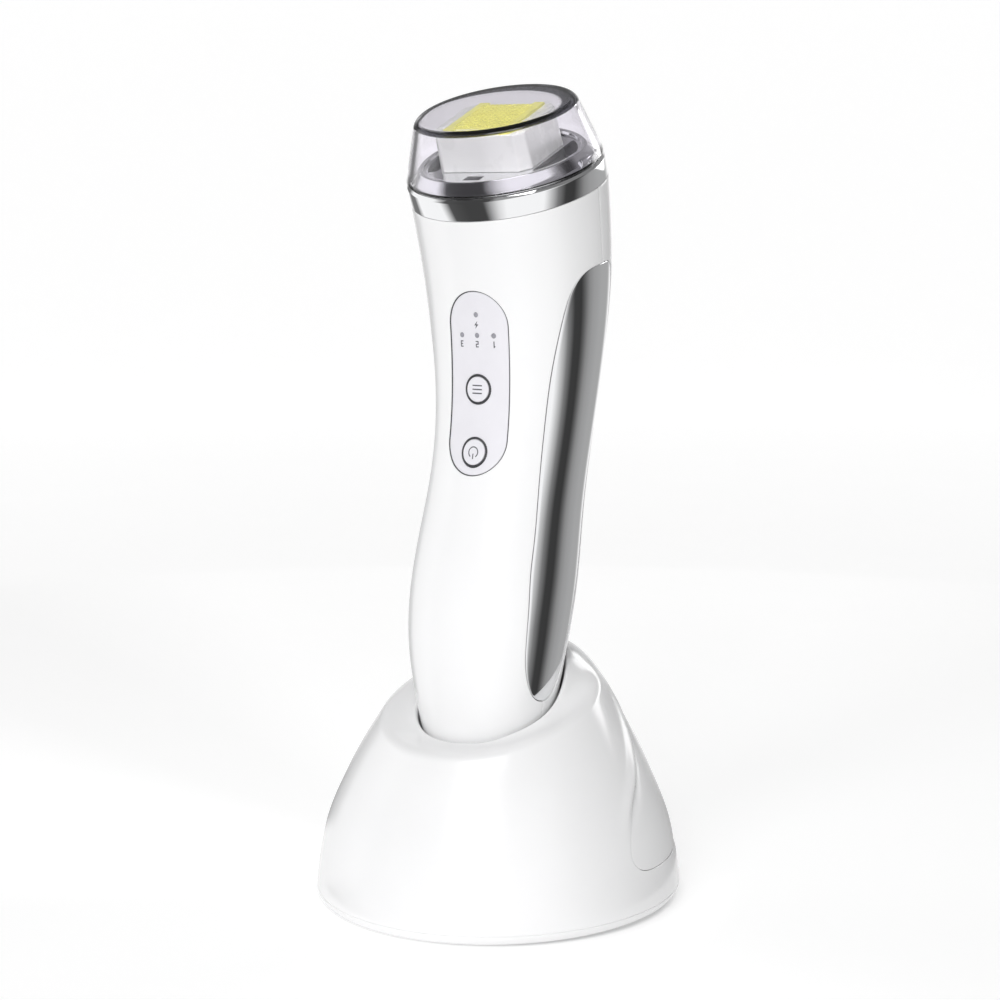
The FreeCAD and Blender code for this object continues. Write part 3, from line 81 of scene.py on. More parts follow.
class Monotone:
    """Cubic through the points with no overshoot."""

    def __init__(self, xs, ys):
        self.x, self.y = np.array(xs, float), np.array(ys, float)
        n = len(xs)
        h = np.diff(self.x)
        d = np.diff(self.y) / h
        m = np.zeros(n)
        for i in range(1, n - 1):
            if d[i - 1] * d[i] > 0:
                w1, w2 = 2 * h[i] + h[i - 1], h[i] + 2 * h[i - 1]
                m[i] = (w1 + w2) / (w1 / d[i - 1] + w2 / d[i])

        def end(h0, h1, d0, d1):
            e = ((2 * h0 + h1) * d0 - h0 * d1) / (h0 + h1)
            if e * d0 <= 0:
                return 0.0
            if d0 * d1 <= 0 and abs(e) > 3 * abs(d0):
                return 3 * d0
            return e
        m[0], m[-1] = end(h[0], h[1], d[0], d[1]), end(h[-1], h[-2], d[-1], d[-2])
        self.m, self.h = m, h

    def __call__(self, x):
        x = np.clip(np.asarray(x, float), self.x[0], self.x[-1])
        i = np.clip(np.searchsorted(self.x, x) - 1, 0, len(self.h) - 1)
        h = self.h[i]
        t = (x - self.x[i]) / h
        return (self.y[i] * (1 + 2 * t) * (1 - t) ** 2 + self.m[i] * h * t * (1 - t) ** 2
                + self.y[i + 1] * t * t * (3 - 2 * t) + self.m[i + 1] * h * t * t * (t - 1))


def closed_curve(pts, n):
    """n points of the smooth closed curve through pts, spaced by chord."""
    p = np.array(pts, float)
    k = len(p)
    h = np.linalg.norm(np.roll(p, -1, 0) - p, axis=1)
    m = np.zeros((k, k))
    r = np.zeros((k, 2))
    for i in range(k):
        a, b = (i - 1) % k, (i + 1) % k
        m[i, a] += h[a]
        m[i, i] += 2 * (h[a] + h[i])
        m[i, b] += h[i]
        r[i] = 6 * ((p[b] - p[i]) / h[i] - (p[i] - p[a]) / h[a])
    mm = np.linalg.solve(m, r)
    s = np.concatenate([[0], np.cumsum(h)])
    u = np.linspace(0, s[-1], n, endpoint=False)
    i = np.clip(np.searchsorted(s, u, side="right") - 1, 0, k - 1)
    j = (i + 1) % k
    a, b = ((s[i + 1] - u) / h[i])[:, None], ((u - s[i]) / h[i])[:, None]
    hh = (h[i] ** 2)[:, None]
    return a * p[i] + b * p[j] + ((a ** 3 - a) * mm[i] + (b ** 3 - b) * mm[j]) * hh / 6


def resample(pts, n, power=1.0):
    """n+1 points evenly along an open polyline."""
    p = np.array(pts, float)
    s = np.concatenate([[0], np.cumsum(np.linalg.norm(np.diff(p, axis=0), axis=1))])
    u = np.linspace(0, s[-1], n + 1)
    return np.stack([np.interp(u, s, p[:, k]) for k in range(p.shape[1])], 1)


def offset_loop(pts, d):
    """A closed flat loop moved outward by d (counter-clockwise loops)."""
    p = np.array(pts, float)
    e = np.roll(p, -1, 0) - np.roll(p, 1, 0)
    nrm = np.stack([e[:, 1], -e[:, 0]], 1)
    nrm /= np.linalg.norm(nrm, axis=1)[:, None]
    return p + nrm * d


def ccw(p):
    p = np.array(p, float)
    q = np.roll(p, -1, 0)
    return p if np.sum(p[:, 0] * q[:, 1] - q[:, 0] * p[:, 1]) > 0 else p[::-1]


def inside(poly, pts):
    """Which points lie inside a flat closed loop."""
    p, q = np.array(poly, float), np.roll(np.array(poly, float), -1, 0)
    x, y = pts[:, 0][:, None], pts[:, 1][:, None]
    cross = (p[:, 1] > y) != (q[:, 1] > y)
    with np.errstate(divide="ignore", invalid="ignore"):
        xi = p[:, 0] + (y - p[:, 1]) / (q[:, 1] - p[:, 1]) * (q[:, 0] - p[:, 0])
    return (np.sum(cross & (x < xi), 1) % 2) == 1


def near(loops, pts):
    """Smallest distance from each point to the loops' points."""
    allp = np.concatenate(loops)
    out = np.full(len(pts), 1e9)
    for k in range(0, len(pts), 2000):
        d = pts[k:k + 2000, None, :] - allp[None]
        out[k:k + 2000] = np.sqrt((d ** 2).sum(2)).min(1)
    return out


def flat_mesh(outer, holes, inner):
    """Triangles between an outer loop and hole loops, through the inner points.
    Returns all points in the order outer, holes, inner, and the faces."""
    loops = [np.array(outer, float)] + [np.array(h, float) for h in holes]
    pts = np.concatenate(loops + [np.array(inner, float).reshape(-1, 2)])
    edges, k = [], 0
    for lp in loops:
        n = len(lp)
        edges += [(k + i, k + (i + 1) % n) for i in range(n)]
        k += n
    _, _, faces, orig, _, _ = delaunay_2d_cdt([Vector(p) for p in pts], edges, [], 0, 1e-7)
    ids = [o[0] if o else -1 for o in orig]
    tri = np.array([[ids[a] for a in f] for f in faces if len(f) == 3])
    tri = tri[(tri >= 0).all(1)]
    cen = pts[tri].mean(1)
    keep = inside(loops[0], cen)
    for h in loops[1:]:
        keep &= ~inside(h, cen)
    tri = tri[keep]
    a, b, c = pts[tri[:, 0]], pts[tri[:, 1]], pts[tri[:, 2]]
    area = (b[:, 0] - a[:, 0]) * (c[:, 1] - a[:, 1]) - (c[:, 0] - a[:, 0]) * (b[:, 1] - a[:, 1])
    tri[area < 0] = tri[area < 0][:, ::-1]
    return pts, tri[np.abs(area) > 1e-9]


def lattice(outer, holes, step, margin=0.55):
    """Staggered points inside a region, clear of its edges."""
    o = np.array(outer)
    lo, hi = o.min(0), o.max(0)
    ys = np.arange(lo[1], hi[1] + step, step * 0.866)
    pts = np.concatenate([np.stack([np.arange(lo[0] + (step / 2 if k % 2 else 0), hi[0] + step, step),
                                    np.full(len(np.arange(lo[0] + (step / 2 if k % 2 else 0), hi[0] + step, step)), y)], 1)
                          for k, y in enumerate(ys)])
    keep = inside(o, pts)
    for h in holes:
        keep &= ~inside(h, pts)
    pts = pts[keep]
    return pts[near([o] + [np.array(h) for h in holes], pts) > margin * step]


def circle(x, y, r, n):
    t = 2 * PI * np.arange(n) / n
    return np.stack([x + r * np.cos(t), y + r * np.sin(t)], 1)


def stadium(w, length, zmid, n_arc=40, n_side=36):
    r, hh = w / 2.0, length / 2.0 - w / 2.0
    t = np.linspace(0, PI, n_arc + 1)
    top = np.stack([r * np.cos(t), zmid + hh + r * np.sin(t)], 1)
    bot = np.stack([r * np.cos(t + PI), zmid - hh + r * np.sin(t + PI)], 1)
    left = np.stack([np.full(n_side - 1, -r), np.linspace(zmid + hh, zmid - hh, n_side + 1)[1:-1]], 1)
    right = np.stack([np.full(n_side - 1, r), np.linspace(zmid - hh, zmid + hh, n_side + 1)[1:-1]], 1)
    return np.concatenate([top, left, bot, right])


# ------------------------------------------------------------------ mesh building
def make(name, verts, faces, body, mat, replaces=(), smooth=True):
    me = bpy.data.meshes.new(name)
    me.from_pydata([tuple(v) for v in np.asarray(verts) * MM], [], [tuple(int(i) for i in f) for f in faces])
    me.validate()
    bm = bmesh.new()
    bm.from_mesh(me)
    bmesh.ops.recalc_face_normals(bm, faces=bm.faces[:])
    bm.to_mesh(me)
    bm.free()
    me.update()
    if smooth:
        me.polygons.foreach_set("use_smooth", [True] * len(me.polygons))
    ob = bpy.data.objects.new(name, me)
    scene.collection.objects.link(ob)
    if mat is not None:
        me.materials.append(mat)
    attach(ob, body)
    if replaces:
        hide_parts(*replaces)
    return ob


def sharp_by_angle(ob, deg):
    """Edges that turn more than the angle stay crisp."""
    ob.data.set_sharp_from_angle(angle=math.radians(deg))


def unit(v):
    return v / np.maximum(np.linalg.norm(v, axis=-1, keepdims=True), 1e-12)


def thick(P, N, faces, t, r, seg=3):
    """A closed wall of thickness t under the skin P, with its free edges rounded by r outside the skin's border."""
    P, N = np.asarray(P, float), unit(np.asarray(N, float))
    faces = [tuple(int(i) for i in f) for f in faces]
    n = len(P)
    directed = {}
    for f in faces:
        for a, b in zip(f, f[1:] + f[:1]):
            directed[(a, b)] = True
    nxt = {a: b for (a, b) in directed if (b, a) not in directed}
    verts = [P, P - N * t]
    count = 2 * n
    out = list(faces) + [tuple(i + n for i in reversed(f)) for f in faces]
    left = set(nxt)
    while left:
        s = left.pop()
        loop = [s]
        while nxt[loop[-1]] != s:
            loop.append(nxt[loop[-1]])
            left.discard(loop[-1])
            if len(loop) > 1000000:
                break
        L = np.array(loop)
        p, nn = P[L], N[L]
        e = unit(np.roll(p, -1, 0) - p)
        te = unit(np.cross(e, nn))
        tv = unit(te + np.roll(te, 1, 0))
        tv = tv / np.clip((tv * te).sum(1), 0.6, 1.0)[:, None]
        k = len(L)
        rows = [L]
        for j in range(1, seg + 1):
            al = PI / 2 * j / seg
            verts.append(p + tv * r * math.sin(al) - nn * r * (1 - math.cos(al)))
            rows.append(np.arange(count, count + k))
            count += k
        verts.append(p + tv * r - nn * t)
        rows.append(np.arange(count, count + k))
        count += k
        rows.append(L + n)
        for A, B in zip(rows, rows[1:]):
            a2, b2 = np.roll(A, -1), np.roll(B, -1)
            out += [(int(w), int(x), int(y), int(z)) for w, x, y, z in zip(A, B, b2, a2)]
    return np.concatenate(verts), out


def grid_faces(rows, cols, wrap=False, flip=False):
    f = []
    for i in range(rows - 1):
        for j in range(cols if wrap else cols - 1):
            a, b = i * cols + j, i * cols + (j + 1) % cols
            c, d = b + cols, a + cols
            f.append((a, d, c, b) if flip else (a, b, c, d))
    return f


def loops_solid(loops, cap_start=True, cap_end=True, ring=False):
    """A closed solid from stacked closed loops of equal length."""
    L = [np.asarray(q, float) for q in loops]
    n = len(L[0])
    verts = np.concatenate(L)
    faces = []
    pairs = list(zip(range(len(L) - 1), range(1, len(L))))
    if ring:
        pairs.append((len(L) - 1, 0))
    for i, k in pairs:
        for j in range(n):
            a, b = i * n + j, i * n + (j + 1) % n
            faces.append((a, b, k * n + (j + 1) % n, k * n + j))
    if not ring:
        extra = []
        if cap_start:
            c = len(verts) + len(extra)
            extra.append(L[0].mean(0))
            faces += [(c, (j + 1) % n, j) for j in range(n)]
        if cap_end:
            c = len(verts) + len(extra)
            extra.append(L[-1].mean(0))
            o = (len(L) - 1) * n
            faces += [(c, o + j, o + (j + 1) % n) for j in range(n)]
        if extra:
            verts = np.concatenate([verts, np.array(extra)])
    return verts, faces


# ------------------------------------------------------------------ handset form
HZ = [33.0, 46.52, 64.75, 82.99, 101.23, 119.46, 137.70, 157.24, 176.78]
spine = Natural(HZ, [-5.675, -5.695, -5.455, -1.705, 3.075, 7.025, 8.835, 8.315, 4.525])
half_w = Natural(HZ, [14.75, 17.27, 20.44, 21.39, 20.58, 21.05, 22.66, 24.35, 25.44])
half_d = Natural(HZ, [14.10, 16.09, 18.08, 18.24, 17.24, 17.59, 19.06, 20.93, 22.50])
TILT = math.radians(21.94)
Z0, Z1 = 46.52, 176.78
FOOT_R = 1.25
V0 = 33.0 + FOOT_R
V1 = V0 - FOOT_R * PI / 2


def lean(z):
    t = (z - Z0) / (Z1 - Z0)
    w = np.clip((t - 0.7) / 0.3, 0, 1) ** 2
    slope = (spine(z + 0.05) - spine(z - 0.05)) / 0.1
    return (-np.arctan(slope) * (1 - w) + TILT * w) * np.clip((z - 33.0) / 3.0, 0, 1)


def hand(th, v, off=0.0):
    """Point of the handset's skin at angle th and height v; below V0 the edge rolls under."""
    th, v = np.broadcast_arrays(np.asarray(th, float), np.asarray(v, float))
    e = np.clip((V0 - v) / FOOT_R, 0, PI / 2)
    z = np.where(v < V0, V0 - FOOT_R * np.sin(e), v)
    o = off + FOOT_R * (1 - np.cos(e)) + np.maximum(V1 - v, 0)
    ph = lean(z)
    a, b = half_w(z) - o, (half_d(z) - o) * np.sin(th)
    return np.stack([a * np.cos(th), spine(z) + b * np.cos(ph), z + b * np.sin(ph)], -1)


def hand_normal(th, v):
    e1, e2 = 1e-3, 1e-2
    d1 = hand(th + e1, v) - hand(th - e1, v)
    d2 = hand(th, v + e2) - hand(th, v - e2)
    return unit(np.cross(d1, d2))


def skin_y(x, z, side=-1):
    """Depth of the handset's skin at (x, z) on the front (-1) or the back (+1)."""
    x, z = np.broadcast_arrays(np.asarray(x, float), np.asarray(z, float))
    v = z.copy()
    for _ in range(40):
        s = side * np.sqrt(np.clip(1 - (x / half_w(v)) ** 2, 0, 1))
        v = z - half_d(v) * s * np.sin(lean(v))
    s = side * np.sqrt(np.clip(1 - (x / half_w(v)) ** 2, 0, 1))
    return spine(v) + half_d(v) * s * np.cos(lean(v))


def skin_xz(xz, side=-1, proud=0.0):
    """Points and outward normals of the skin over flat (x, z) points."""
    x, z = xz[:, 0], xz[:, 1]
    y = skin_y(x, z, side)
    e = 0.05
    fx = (skin_y(x + e, z, side) - skin_y(x - e, z, side)) / (2 * e)
    fz = (skin_y(x, z + e, side) - skin_y(x, z - e, side)) / (2 * e)
    nn = unit(np.stack([-fx, np.ones_like(fx), -fz], 1)) * side
    p = np.stack([x, y, z], 1)
    return p + nn * proud, nn


# side strip outline in (20*angle, height): smooth closed loop
ST = np.array([0.045, 0.055, 0.08, 0.11, 0.15, 0.215, 0.265, 0.33, 0.40, 0.48, 0.56, 0.64, 0.72, 0.78, 0.82, 0.85, 0.86])
SW = np.array([0.0, 11.0, 18.2, 22.6, 25.0, 27.7, 30.3, 31.6, 33.4, 35.7, 37.2, 37.2, 34.6, 31.2, 27.0, 18.5, 0.0])
SZ = Z0 + (Z1 - Z0) * ST
SC = -9.0 * (0.86 - ST) / 0.8
front_pts = np.stack([20 * np.radians(SC - SW), SZ], 1)
back_pts = np.stack([20 * np.radians(SC + SW), SZ], 1)
OUTLINE = ccw(closed_curve(np.concatenate([back_pts, front_pts[-2:0:-1]]), 1600))


def branches(grow, n):
    """Front and back edge of the strip's outline, moved outward by grow, from the low tip to the high tip."""
    p = offset_loop(OUTLINE, grow)
    lo, hi = int(np.argmin(p[:, 1])), int(np.argmax(p[:, 1]))
    q = np.roll(p, -lo, 0)
    k = (hi - lo) % len(p)
    one, two = q[:k + 1], np.concatenate([q[k:], q[:1]])[::-1]
    if one[len(one) // 2, 0] > two[len(two) // 2, 0]:
        one, two = two, one
    res = []
    for b in (one, two):
        b = resample(b, n)
        b[:, 1] = np.maximum.accumulate(b[:, 1] + 1e-4 * np.arange(len(b)))
        res.append(b)
    return res


EDGE_R = 0.14
PART_GAP = 0.03


def shell_rows(which, n_branch, n_low, n_top):
    """Rows (height, edge angle) of the front or rear skin."""
    br = branches(EDGE_R + 0.03, n_branch)[0 if which == "front" else 1]
    sgn = -1 if which == "front" else 1
    gap = (PART_GAP + EDGE_R) / 18.0
    tip_lo, tip_hi = br[0], br[-1]
    low_v = np.concatenate([np.linspace(V1 + 0.02, V0, 9), np.linspace(V0, tip_lo[1] - 0.3, n_low + 1)[1:]])
    s = np.clip((low_v - 35.0) / (tip_lo[1] - 35.0), 0, 1)
    low_t = (tip_lo[0] / 20.0) * s * s * (3 - 2 * s) + sgn * gap
    top_v = np.linspace(tip_hi[1] + 0.3, Z1 - EDGE_R - 0.05, n_top + 1)
    s = np.clip((top_v - tip_hi[1]) / 8.0, 0, 1)
    top_t = (tip_hi[0] / 20.0) * (1 - s * s * (3 - 2 * s)) + sgn * gap
    v = np.concatenate([low_v, br[:, 1], top_v])
    t = np.concatenate([low_t, br[:, 0] / 20.0, top_t])
    return v, t


def shell_skin(which, cols, n_branch=150, n_low=22, n_top=26, window=None, foot_notch=True):
    """Skin of one half of the handset: points, normals, faces. window = (low z, high z, share of width, hole loops)."""
    v, t = shell_rows(which, n_branch, n_low, n_top)
    s = np.linspace(-1, 1, cols)
    if which == "front":
        th = -PI / 2 + (t + PI / 2)[:, None] * s[None]
        side = -1
    else:
        th = PI / 2 + (PI / 2 - t)[:, None] * s[None]
        side = 1
    vv = np.repeat(v[:, None], cols, 1)
    P = hand(th, vv).reshape(-1, 3)
    N = hand_normal(th, vv).reshape(-1, 3)
    rows = len(v)
    faces = grid_faces(rows, cols)
    if window:
        lo, hi, share, holes, step = window
        zc = P.reshape(rows, cols, 3)[:, cols // 2, 2]
        i0, i1 = int(np.searchsorted(zc, lo)), int(np.searchsorted(zc, hi))
        j0 = int(round((1 - share) / 2 * (cols - 1)))
        j1 = cols - 1 - j0
        ring = ([(i0, j) for j in range(j0, j1)] + [(i, j1) for i in range(i0, i1)]
                + [(i1, j) for j in range(j1, j0, -1)] + [(i, j0) for i in range(i1, i0, -1)])
        ring = np.array([i * cols + j for i, j in ring])
        inner = np.array([i * cols + j for i in range(i0 + 1, i1) for j in range(j0 + 1, j1)])
        flat = P[:, [0, 2]]
        ok = ~np.any([inside(h, flat[inner]) for h in holes], 0)
        ok &= near(holes, flat[inner]) > step
        gone = set(inner[~ok].tolist())
        inner = inner[ok]
        extra = np.concatenate([offset_loop(ccw(h), step * 0.95) for h in holes])[::1]
        extra = extra[near([flat[inner]], extra) > step * 0.45] if len(inner) else extra
        hole_pts = np.concatenate(holes)
        pts, tri = flat_mesh(flat[ring], holes, np.concatenate([flat[inner], extra]))
        new_xz = np.concatenate([hole_pts, extra])
        np_, nn_ = skin_xz(new_xz, side)
        base = len(P)
        ids = np.concatenate([ring, base + np.arange(len(hole_pts)), inner, base + len(hole_pts) + np.arange(len(extra))])
        P, N = np.concatenate([P, np_]), np.concatenate([N, nn_])
        inwin = set()
        for i in range(i0, i1):
            for j in range(j0, j1):
                inwin.add(i * cols + j)
        faces = [f for k, f in enumerate(faces) if ((k // (cols - 1)) * cols + k % (cols - 1)) not in inwin]
        tt = ids[tri]
        want = unit(np.cross(P[tt[:, 1]] - P[tt[:, 0]], P[tt[:, 2]] - P[tt[:, 0]]))
        flip = (want * N[tt[:, 0]]).sum(1) < 0
        tt[flip] = tt[flip][:, ::-1]
        faces += [tuple(x) for x in tt]
    if foot_notch:
        # flat underside: half disc with room for the two charge studs on the parting line
        edge = np.arange(cols)
        y0 = float(spine(33.0)) + side * (PART_GAP + EDGE_R)
        e2 = P[edge][:, [0, 1]]
        line = []
        xs = e2[-1, 0], e2[0, 0]
        r = 1.55 + EDGE_R
        way = np.sign(xs[1] - xs[0])
        for cx in (6.0 * -way, 6.0 * way):
            a = np.linspace(PI, 0, 15) if way > 0 else np.linspace(0, PI, 15)
            line += [(cx + r * math.cos(q), y0 + side * r * math.sin(q)) for q in a]
        line = np.array(line)
        outer = np.concatenate([e2, line])
        inner = lattice(outer, [], 1.5)
        pts, tri = flat_mesh(ccw(outer) if np.allclose(ccw(outer)[0], outer[0]) else outer, [], inner)
        base = len(P)
        new = pts[cols:]
        P = np.concatenate([P, np.stack([new[:, 0], new[:, 1], np.full(len(new), 33.0)], 1)])
        N = np.concatenate([N, np.tile([0, 0, -1.0], (len(new), 1))])
        ids = np.concatenate([edge, base + np.arange(len(new))])
        tt = ids[tri]
        want = np.cross(P[tt[:, 1]] - P[tt[:, 0]], P[tt[:, 2]] - P[tt[:, 0]])[:, 2]
        tt[want > 0] = tt[want > 0][:, ::-1]
        faces += [tuple(x) for x in tt]
    return drop_unused(P, N, faces)


def drop_unused(P, N, faces):
    used = np.zeros(len(P), bool)
    for f in faces:
        for i in f:
            used[i] = True
    new = np.cumsum(used) - 1
    return P[used], N[used], [tuple(int(new[i]) for i in f) for f in faces]


# ------------------------------------------------------------------ head frame
def head(x, y2, h):
    x, y2, h = np.broadcast_arrays(np.asarray(x, float), np.asarray(y2, float), np.asarray(h, float))
    return np.stack([x, 4.525 + y2 * math.cos(TILT) - h * math.sin(TILT), Z1 + y2 * math.sin(TILT) + h * math.cos(TILT)], -1)


def oval(a, b, h, n=192):
    t = 2 * PI * np.arange(n) / n
    return head(a * np.cos(t), b * np.sin(t), np.full(n, h))


def arc_corner(p, q, r_, rad, seg=5):
    """Rounds corner q of the polyline p-q-r_ by rad (flat points)."""
    p, q, r_ = (np.array(k, float) for k in (p, q, r_))
    d1, d2 = (p - q) / np.linalg.norm(p - q), (r_ - q) / np.linalg.norm(r_ - q)
    ang = math.acos(np.clip(np.dot(d1, d2), -1, 1))
    cut = rad / math.tan(ang / 2)
    a, b = q + d1 * cut, q + d2 * cut
    mid = (d1 + d2) / np.linalg.norm(d1 + d2)
    c = q + mid * (rad / math.sin(ang / 2))
    v0, v1 = a - c, b - c
    full = math.acos(np.clip(np.dot(v0, v1) / rad ** 2, -1, 1))
    sg = np.sign(v0[0] * v1[1] - v0[1] * v1[0])
    out = []
    for k in range(seg + 1):
        g = sg * full * k / seg
        out.append(c + np.array([v0[0] * math.cos(g) - v0[1] * math.sin(g), v0[0] * math.sin(g) + v0[1] * math.cos(g)]))
    return out


def rounded(profile, radii, closed=True, seg=5):
    out = []
    n = len(profile)
    for i, q in enumerate(profile):
        rad = radii[i]
        if rad <= 0 or (not closed and i in (0, n - 1)):
            out.append(np.array(q, float))
        else:
            out += arc_corner(profile[i - 1], q, profile[(i + 1) % n], rad, seg)
    return out


# ------------------------------------------------------------------ charging base form
BZ = [0.0, 3.0, 9.0, 18.0, 32.0, 46.0, 58.0, 70.0, 80.0]
dome_a = Monotone(BZ, [43.41, 45.20, 44.76, 43.32, 37.99, 30.43, 22.32, 11.93, 1.38])


def parab(z, v):
    return v[0] * (z - 40) * (z - 80) / 3200.0 - v[1] * z * (z - 80) / 1600.0 + v[2] * z * (z - 40) / 3200.0


def dome(z, t, off=0.0):
    z, t = np.broadcast_arrays(np.asarray(z, float), np.asarray(t, float))
    a = dome_a(z)
    return np.stack([(a - off) * np.cos(t), parab(z, (0.137, 0.755, 6.659)) + (a * parab(z, (1.069, 0.993, 1.045)) - off) * np.sin(t), z], -1)


RIM_T = math.tan(math.radians(18.2))
RIM_Z = 52.723
well = Natural([-26.375, -22.375, -20.375, -17.675, -13.975, -8.475, -3.075, 1.525, 4.625, 8.625, 12.625, 15.625],
               [42.0, 42.8, 43.5, 44.9, 46.6, 49.2, 52.7, 57.2, 60.4, 62.9, 64.0, 64.2])
SEAM_Z = 3.0


def rim_start(t):
    lo, hi = np.full(np.shape(t), 20.0), np.full(np.shape(t), 74.0)
    for _ in range(50):
        m = (lo + hi) / 2
        below = m < RIM_Z + RIM_T * dome(m, t)[..., 1]
        lo, hi = np.where(below, m, lo), np.where(below, hi, m)
    return (lo + hi) / 2 - 2.2


def well_point(z, t, gap):
    return np.stack([(half_w(z) + gap) * np.cos(t), spine(z) + (half_d(z) + gap) * np.sin(t), z], -1)


def well_edge(t, gap):
    z = np.full(np.shape(t), 50.0)
    for _ in range(60):
        y = spine(z) + (half_d(z) + gap) * np.sin(t)
        z = 0.6 * z + 0.4 * well(np.clip(y, -26.3, 15.6))
    return well_point(z, t, gap)


_tab_t = np.linspace(-PI / 2 - 0.2, 3 * PI / 2 + 0.2, 1441)
_tab_z = rim_start(_tab_t)
_tab_p3 = well_edge(_tab_t, 1.35)


def base_point(t, v):
    """Skin of the base: v 0..1 up the dome, 1..2 over the lip and down into the dish."""
    t, v = np.broadcast_arrays(np.asarray(t, float), np.asarray(v, float))
    zs = np.interp(t, _tab_t, _tab_z)
    low = dome(SEAM_Z + EDGE_R + 0.05 + (zs - SEAM_Z - EDGE_R - 0.05) * np.clip(v, 0, 1), t)
    p0 = dome(zs, t)
    d = unit(dome(zs + 0.2, t) - p0)
    p3 = np.stack([np.interp(t, _tab_t, _tab_p3[:, k]) for k in range(3)], -1)
    o = p0 - p3
    o[..., 2] = 0
    o = unit(o)
    p1 = p0 + d * 3.0
    p2 = p3 + o * 4.9 + np.array([0, 0, -0.45])
    u = np.clip(v - 1, 0, 1)[..., None]
    w = 1 - u
    bez = p0 * w ** 3 + p1 * (3 * w * w * u) + p2 * (3 * w * u * u) + p3 * u ** 3
    return np.where((v <= 1)[..., None], low, bez)


def num_normal(f, t, v, et=2e-3, ev=4e-3):
    d1 = f(t + et, v) - f(t - et, v)
    d2 = f(t, np.minimum(v + ev, 2.0)) - f(t, np.maximum(v - ev, 0.0))
    return unit(np.cross(d1, d2))


# rear cover outline seen from the side (depth, height), then on to the back
REAR = np.array([[19.125, 56], [16.825, 51.7], [14.625, 46.6], [12.225, 42.4], [10.025, 39.2], [7.225, 35.9], [3.825, 32.4],
                 [0.225, 29.4], [-3.175, 26.2], [-5.775, 22.8], [-7.575, 19], [-7.775, 16.2], [-5.975, 13.8], [-2.375, 12.5], [2.125, 12.2]])
REAR_TOP = 58.2
# how far the casing rolls in at the edge of the rear field, and how deep the cover sits, by height on the flanks
roll_in = Monotone([5.0, 12.2, 15.0, 19.0, 24.0, 30.0, 60.0], [0.12, 0.12, 0.06, 0.03, 0.14, 0.66, 0.72])
cover_in = Monotone([5.0, 12.2, 15.0, 19.0, 24.0, 30.0, 60.0], [0.34, 0.34, 0.22, 0.18, 0.36, 0.95, 1.0])


def flank(t):
    """0 at the middle of the back, 1 on the flanks."""
    g = np.clip((np.abs(np.asarray(t, float) - PI / 2) - 0.5) / 0.5, 0, 1)
    return g * g * (3 - 2 * g)


def low_corner(t, z):
    """1 at the low front corner of the field, where the cover is all but flush with the casing."""
    g = np.clip((np.abs(np.asarray(t, float) - PI / 2) - 1.18) / 0.3, 0, 1)
    k = np.clip((27.0 - np.asarray(z, float)) / 9.0, 0, 1)
    return g * g * (3 - 2 * g) * k * k * (3 - 2 * k)


def cover_depth(t, z):
    f = flank(t)
    d = 1.0 * (1 - f) + cover_in(z) * f
    return d + (0.10 - d) * low_corner(t, z)


def edge_roll(t, z):
    f = flank(t)
    d = 0.4 * (1 - f) + roll_in(z) * f
    return d * (1 - low_corner(t, z))


lip_up = Monotone([5.0, 20.0, 24.0, 29.0, 36.0, 47.0, 52.0, 56.5, 60.0], [0.0, 0.0, 0.16, 0.48, 0.66, 0.66, 0.42, 0.0, 0.0])


def lip_shape(s):
    """Cross-section of the raised lip: highest 1.3 mm from the edge, gone at 5 mm."""
    up = np.clip(s / 1.3, 0, 1)
    down = np.clip((5.0 - s) / 3.7, 0, 1)
    return (0.35 + 0.65 * up * up * (3 - 2 * up)) * down * down * (3 - 2 * down)


def rear_side(grow):
    """Outline on the right side from the top middle to the low middle of the back, as (angle, height)."""
    n = len(REAR)
    d = np.array([REAR[min(i + 1, n - 1)] - REAR[max(i - 1, 0)] for i in range(n)])
    nrm = unit(np.stack([d[:, 1], -d[:, 0]], 1))
    out = REAR + nrm * grow
    top = REAR_TOP + grow
    k = np.concatenate([[0], np.cumsum(np.linalg.norm(np.diff(out, axis=0), axis=1))])
    u = np.linspace(0, k[-1], 200)
    side = np.stack([Natural(k, out[:, 0])(u), Natural(k, out[:, 1])(u)], 1)
    arc = np.array([[25.5, top], [23.7, top - 0.12], [22.0, top - 0.55], [20.5, top - 1.15]])
    return np.concatenate([arc, side]), top, out[-1, 1]


def rear_loop(grow, off, step=0.75):
    """Closed outline of the rear field as (angle, height) on the dome sunk by off, a number or a depth by place."""
    side, top, low = rear_side(grow)
    y, z = side[:, 0], side[:, 1]
    sunk = 0.0
    for _ in range(8):
        s = (y - parab(z, (0.137, 0.755, 6.659))) / (dome_a(z) * parab(z, (1.069, 0.993, 1.045)) - sunk)
        th = np.arcsin(np.clip(s, -1, 1))
        sunk = off(th, z) if callable(off) else off
    right = np.stack([th, side[:, 1]], 1)
    lead = np.stack([np.linspace(PI / 2, right[0, 0], 30)[:-1], np.full(29, top)], 1)
    tail = np.stack([np.linspace(right[-1, 0], PI / 2, 60)[1:], np.full(59, low)], 1)
    half = np.concatenate([lead, right, tail])
    met = half * np.array([40.0, 1.0])
    length = np.linalg.norm(np.diff(met, axis=0), axis=1).sum()
    half = resample(met, int(length / step)) / np.array([40.0, 1.0])
    mirror = half[1:-1][::-1].copy()
    mirror[:, 0] = PI - mirror[:, 0]
    return np.concatenate([half, mirror])


# ------------------------------------------------------------------ materials
def base_mat(name):
    m = bpy.data.materials.new(name)
    m.use_nodes = True
    nt = m.node_tree
    return m, nt, nt.nodes["Principled BSDF"]


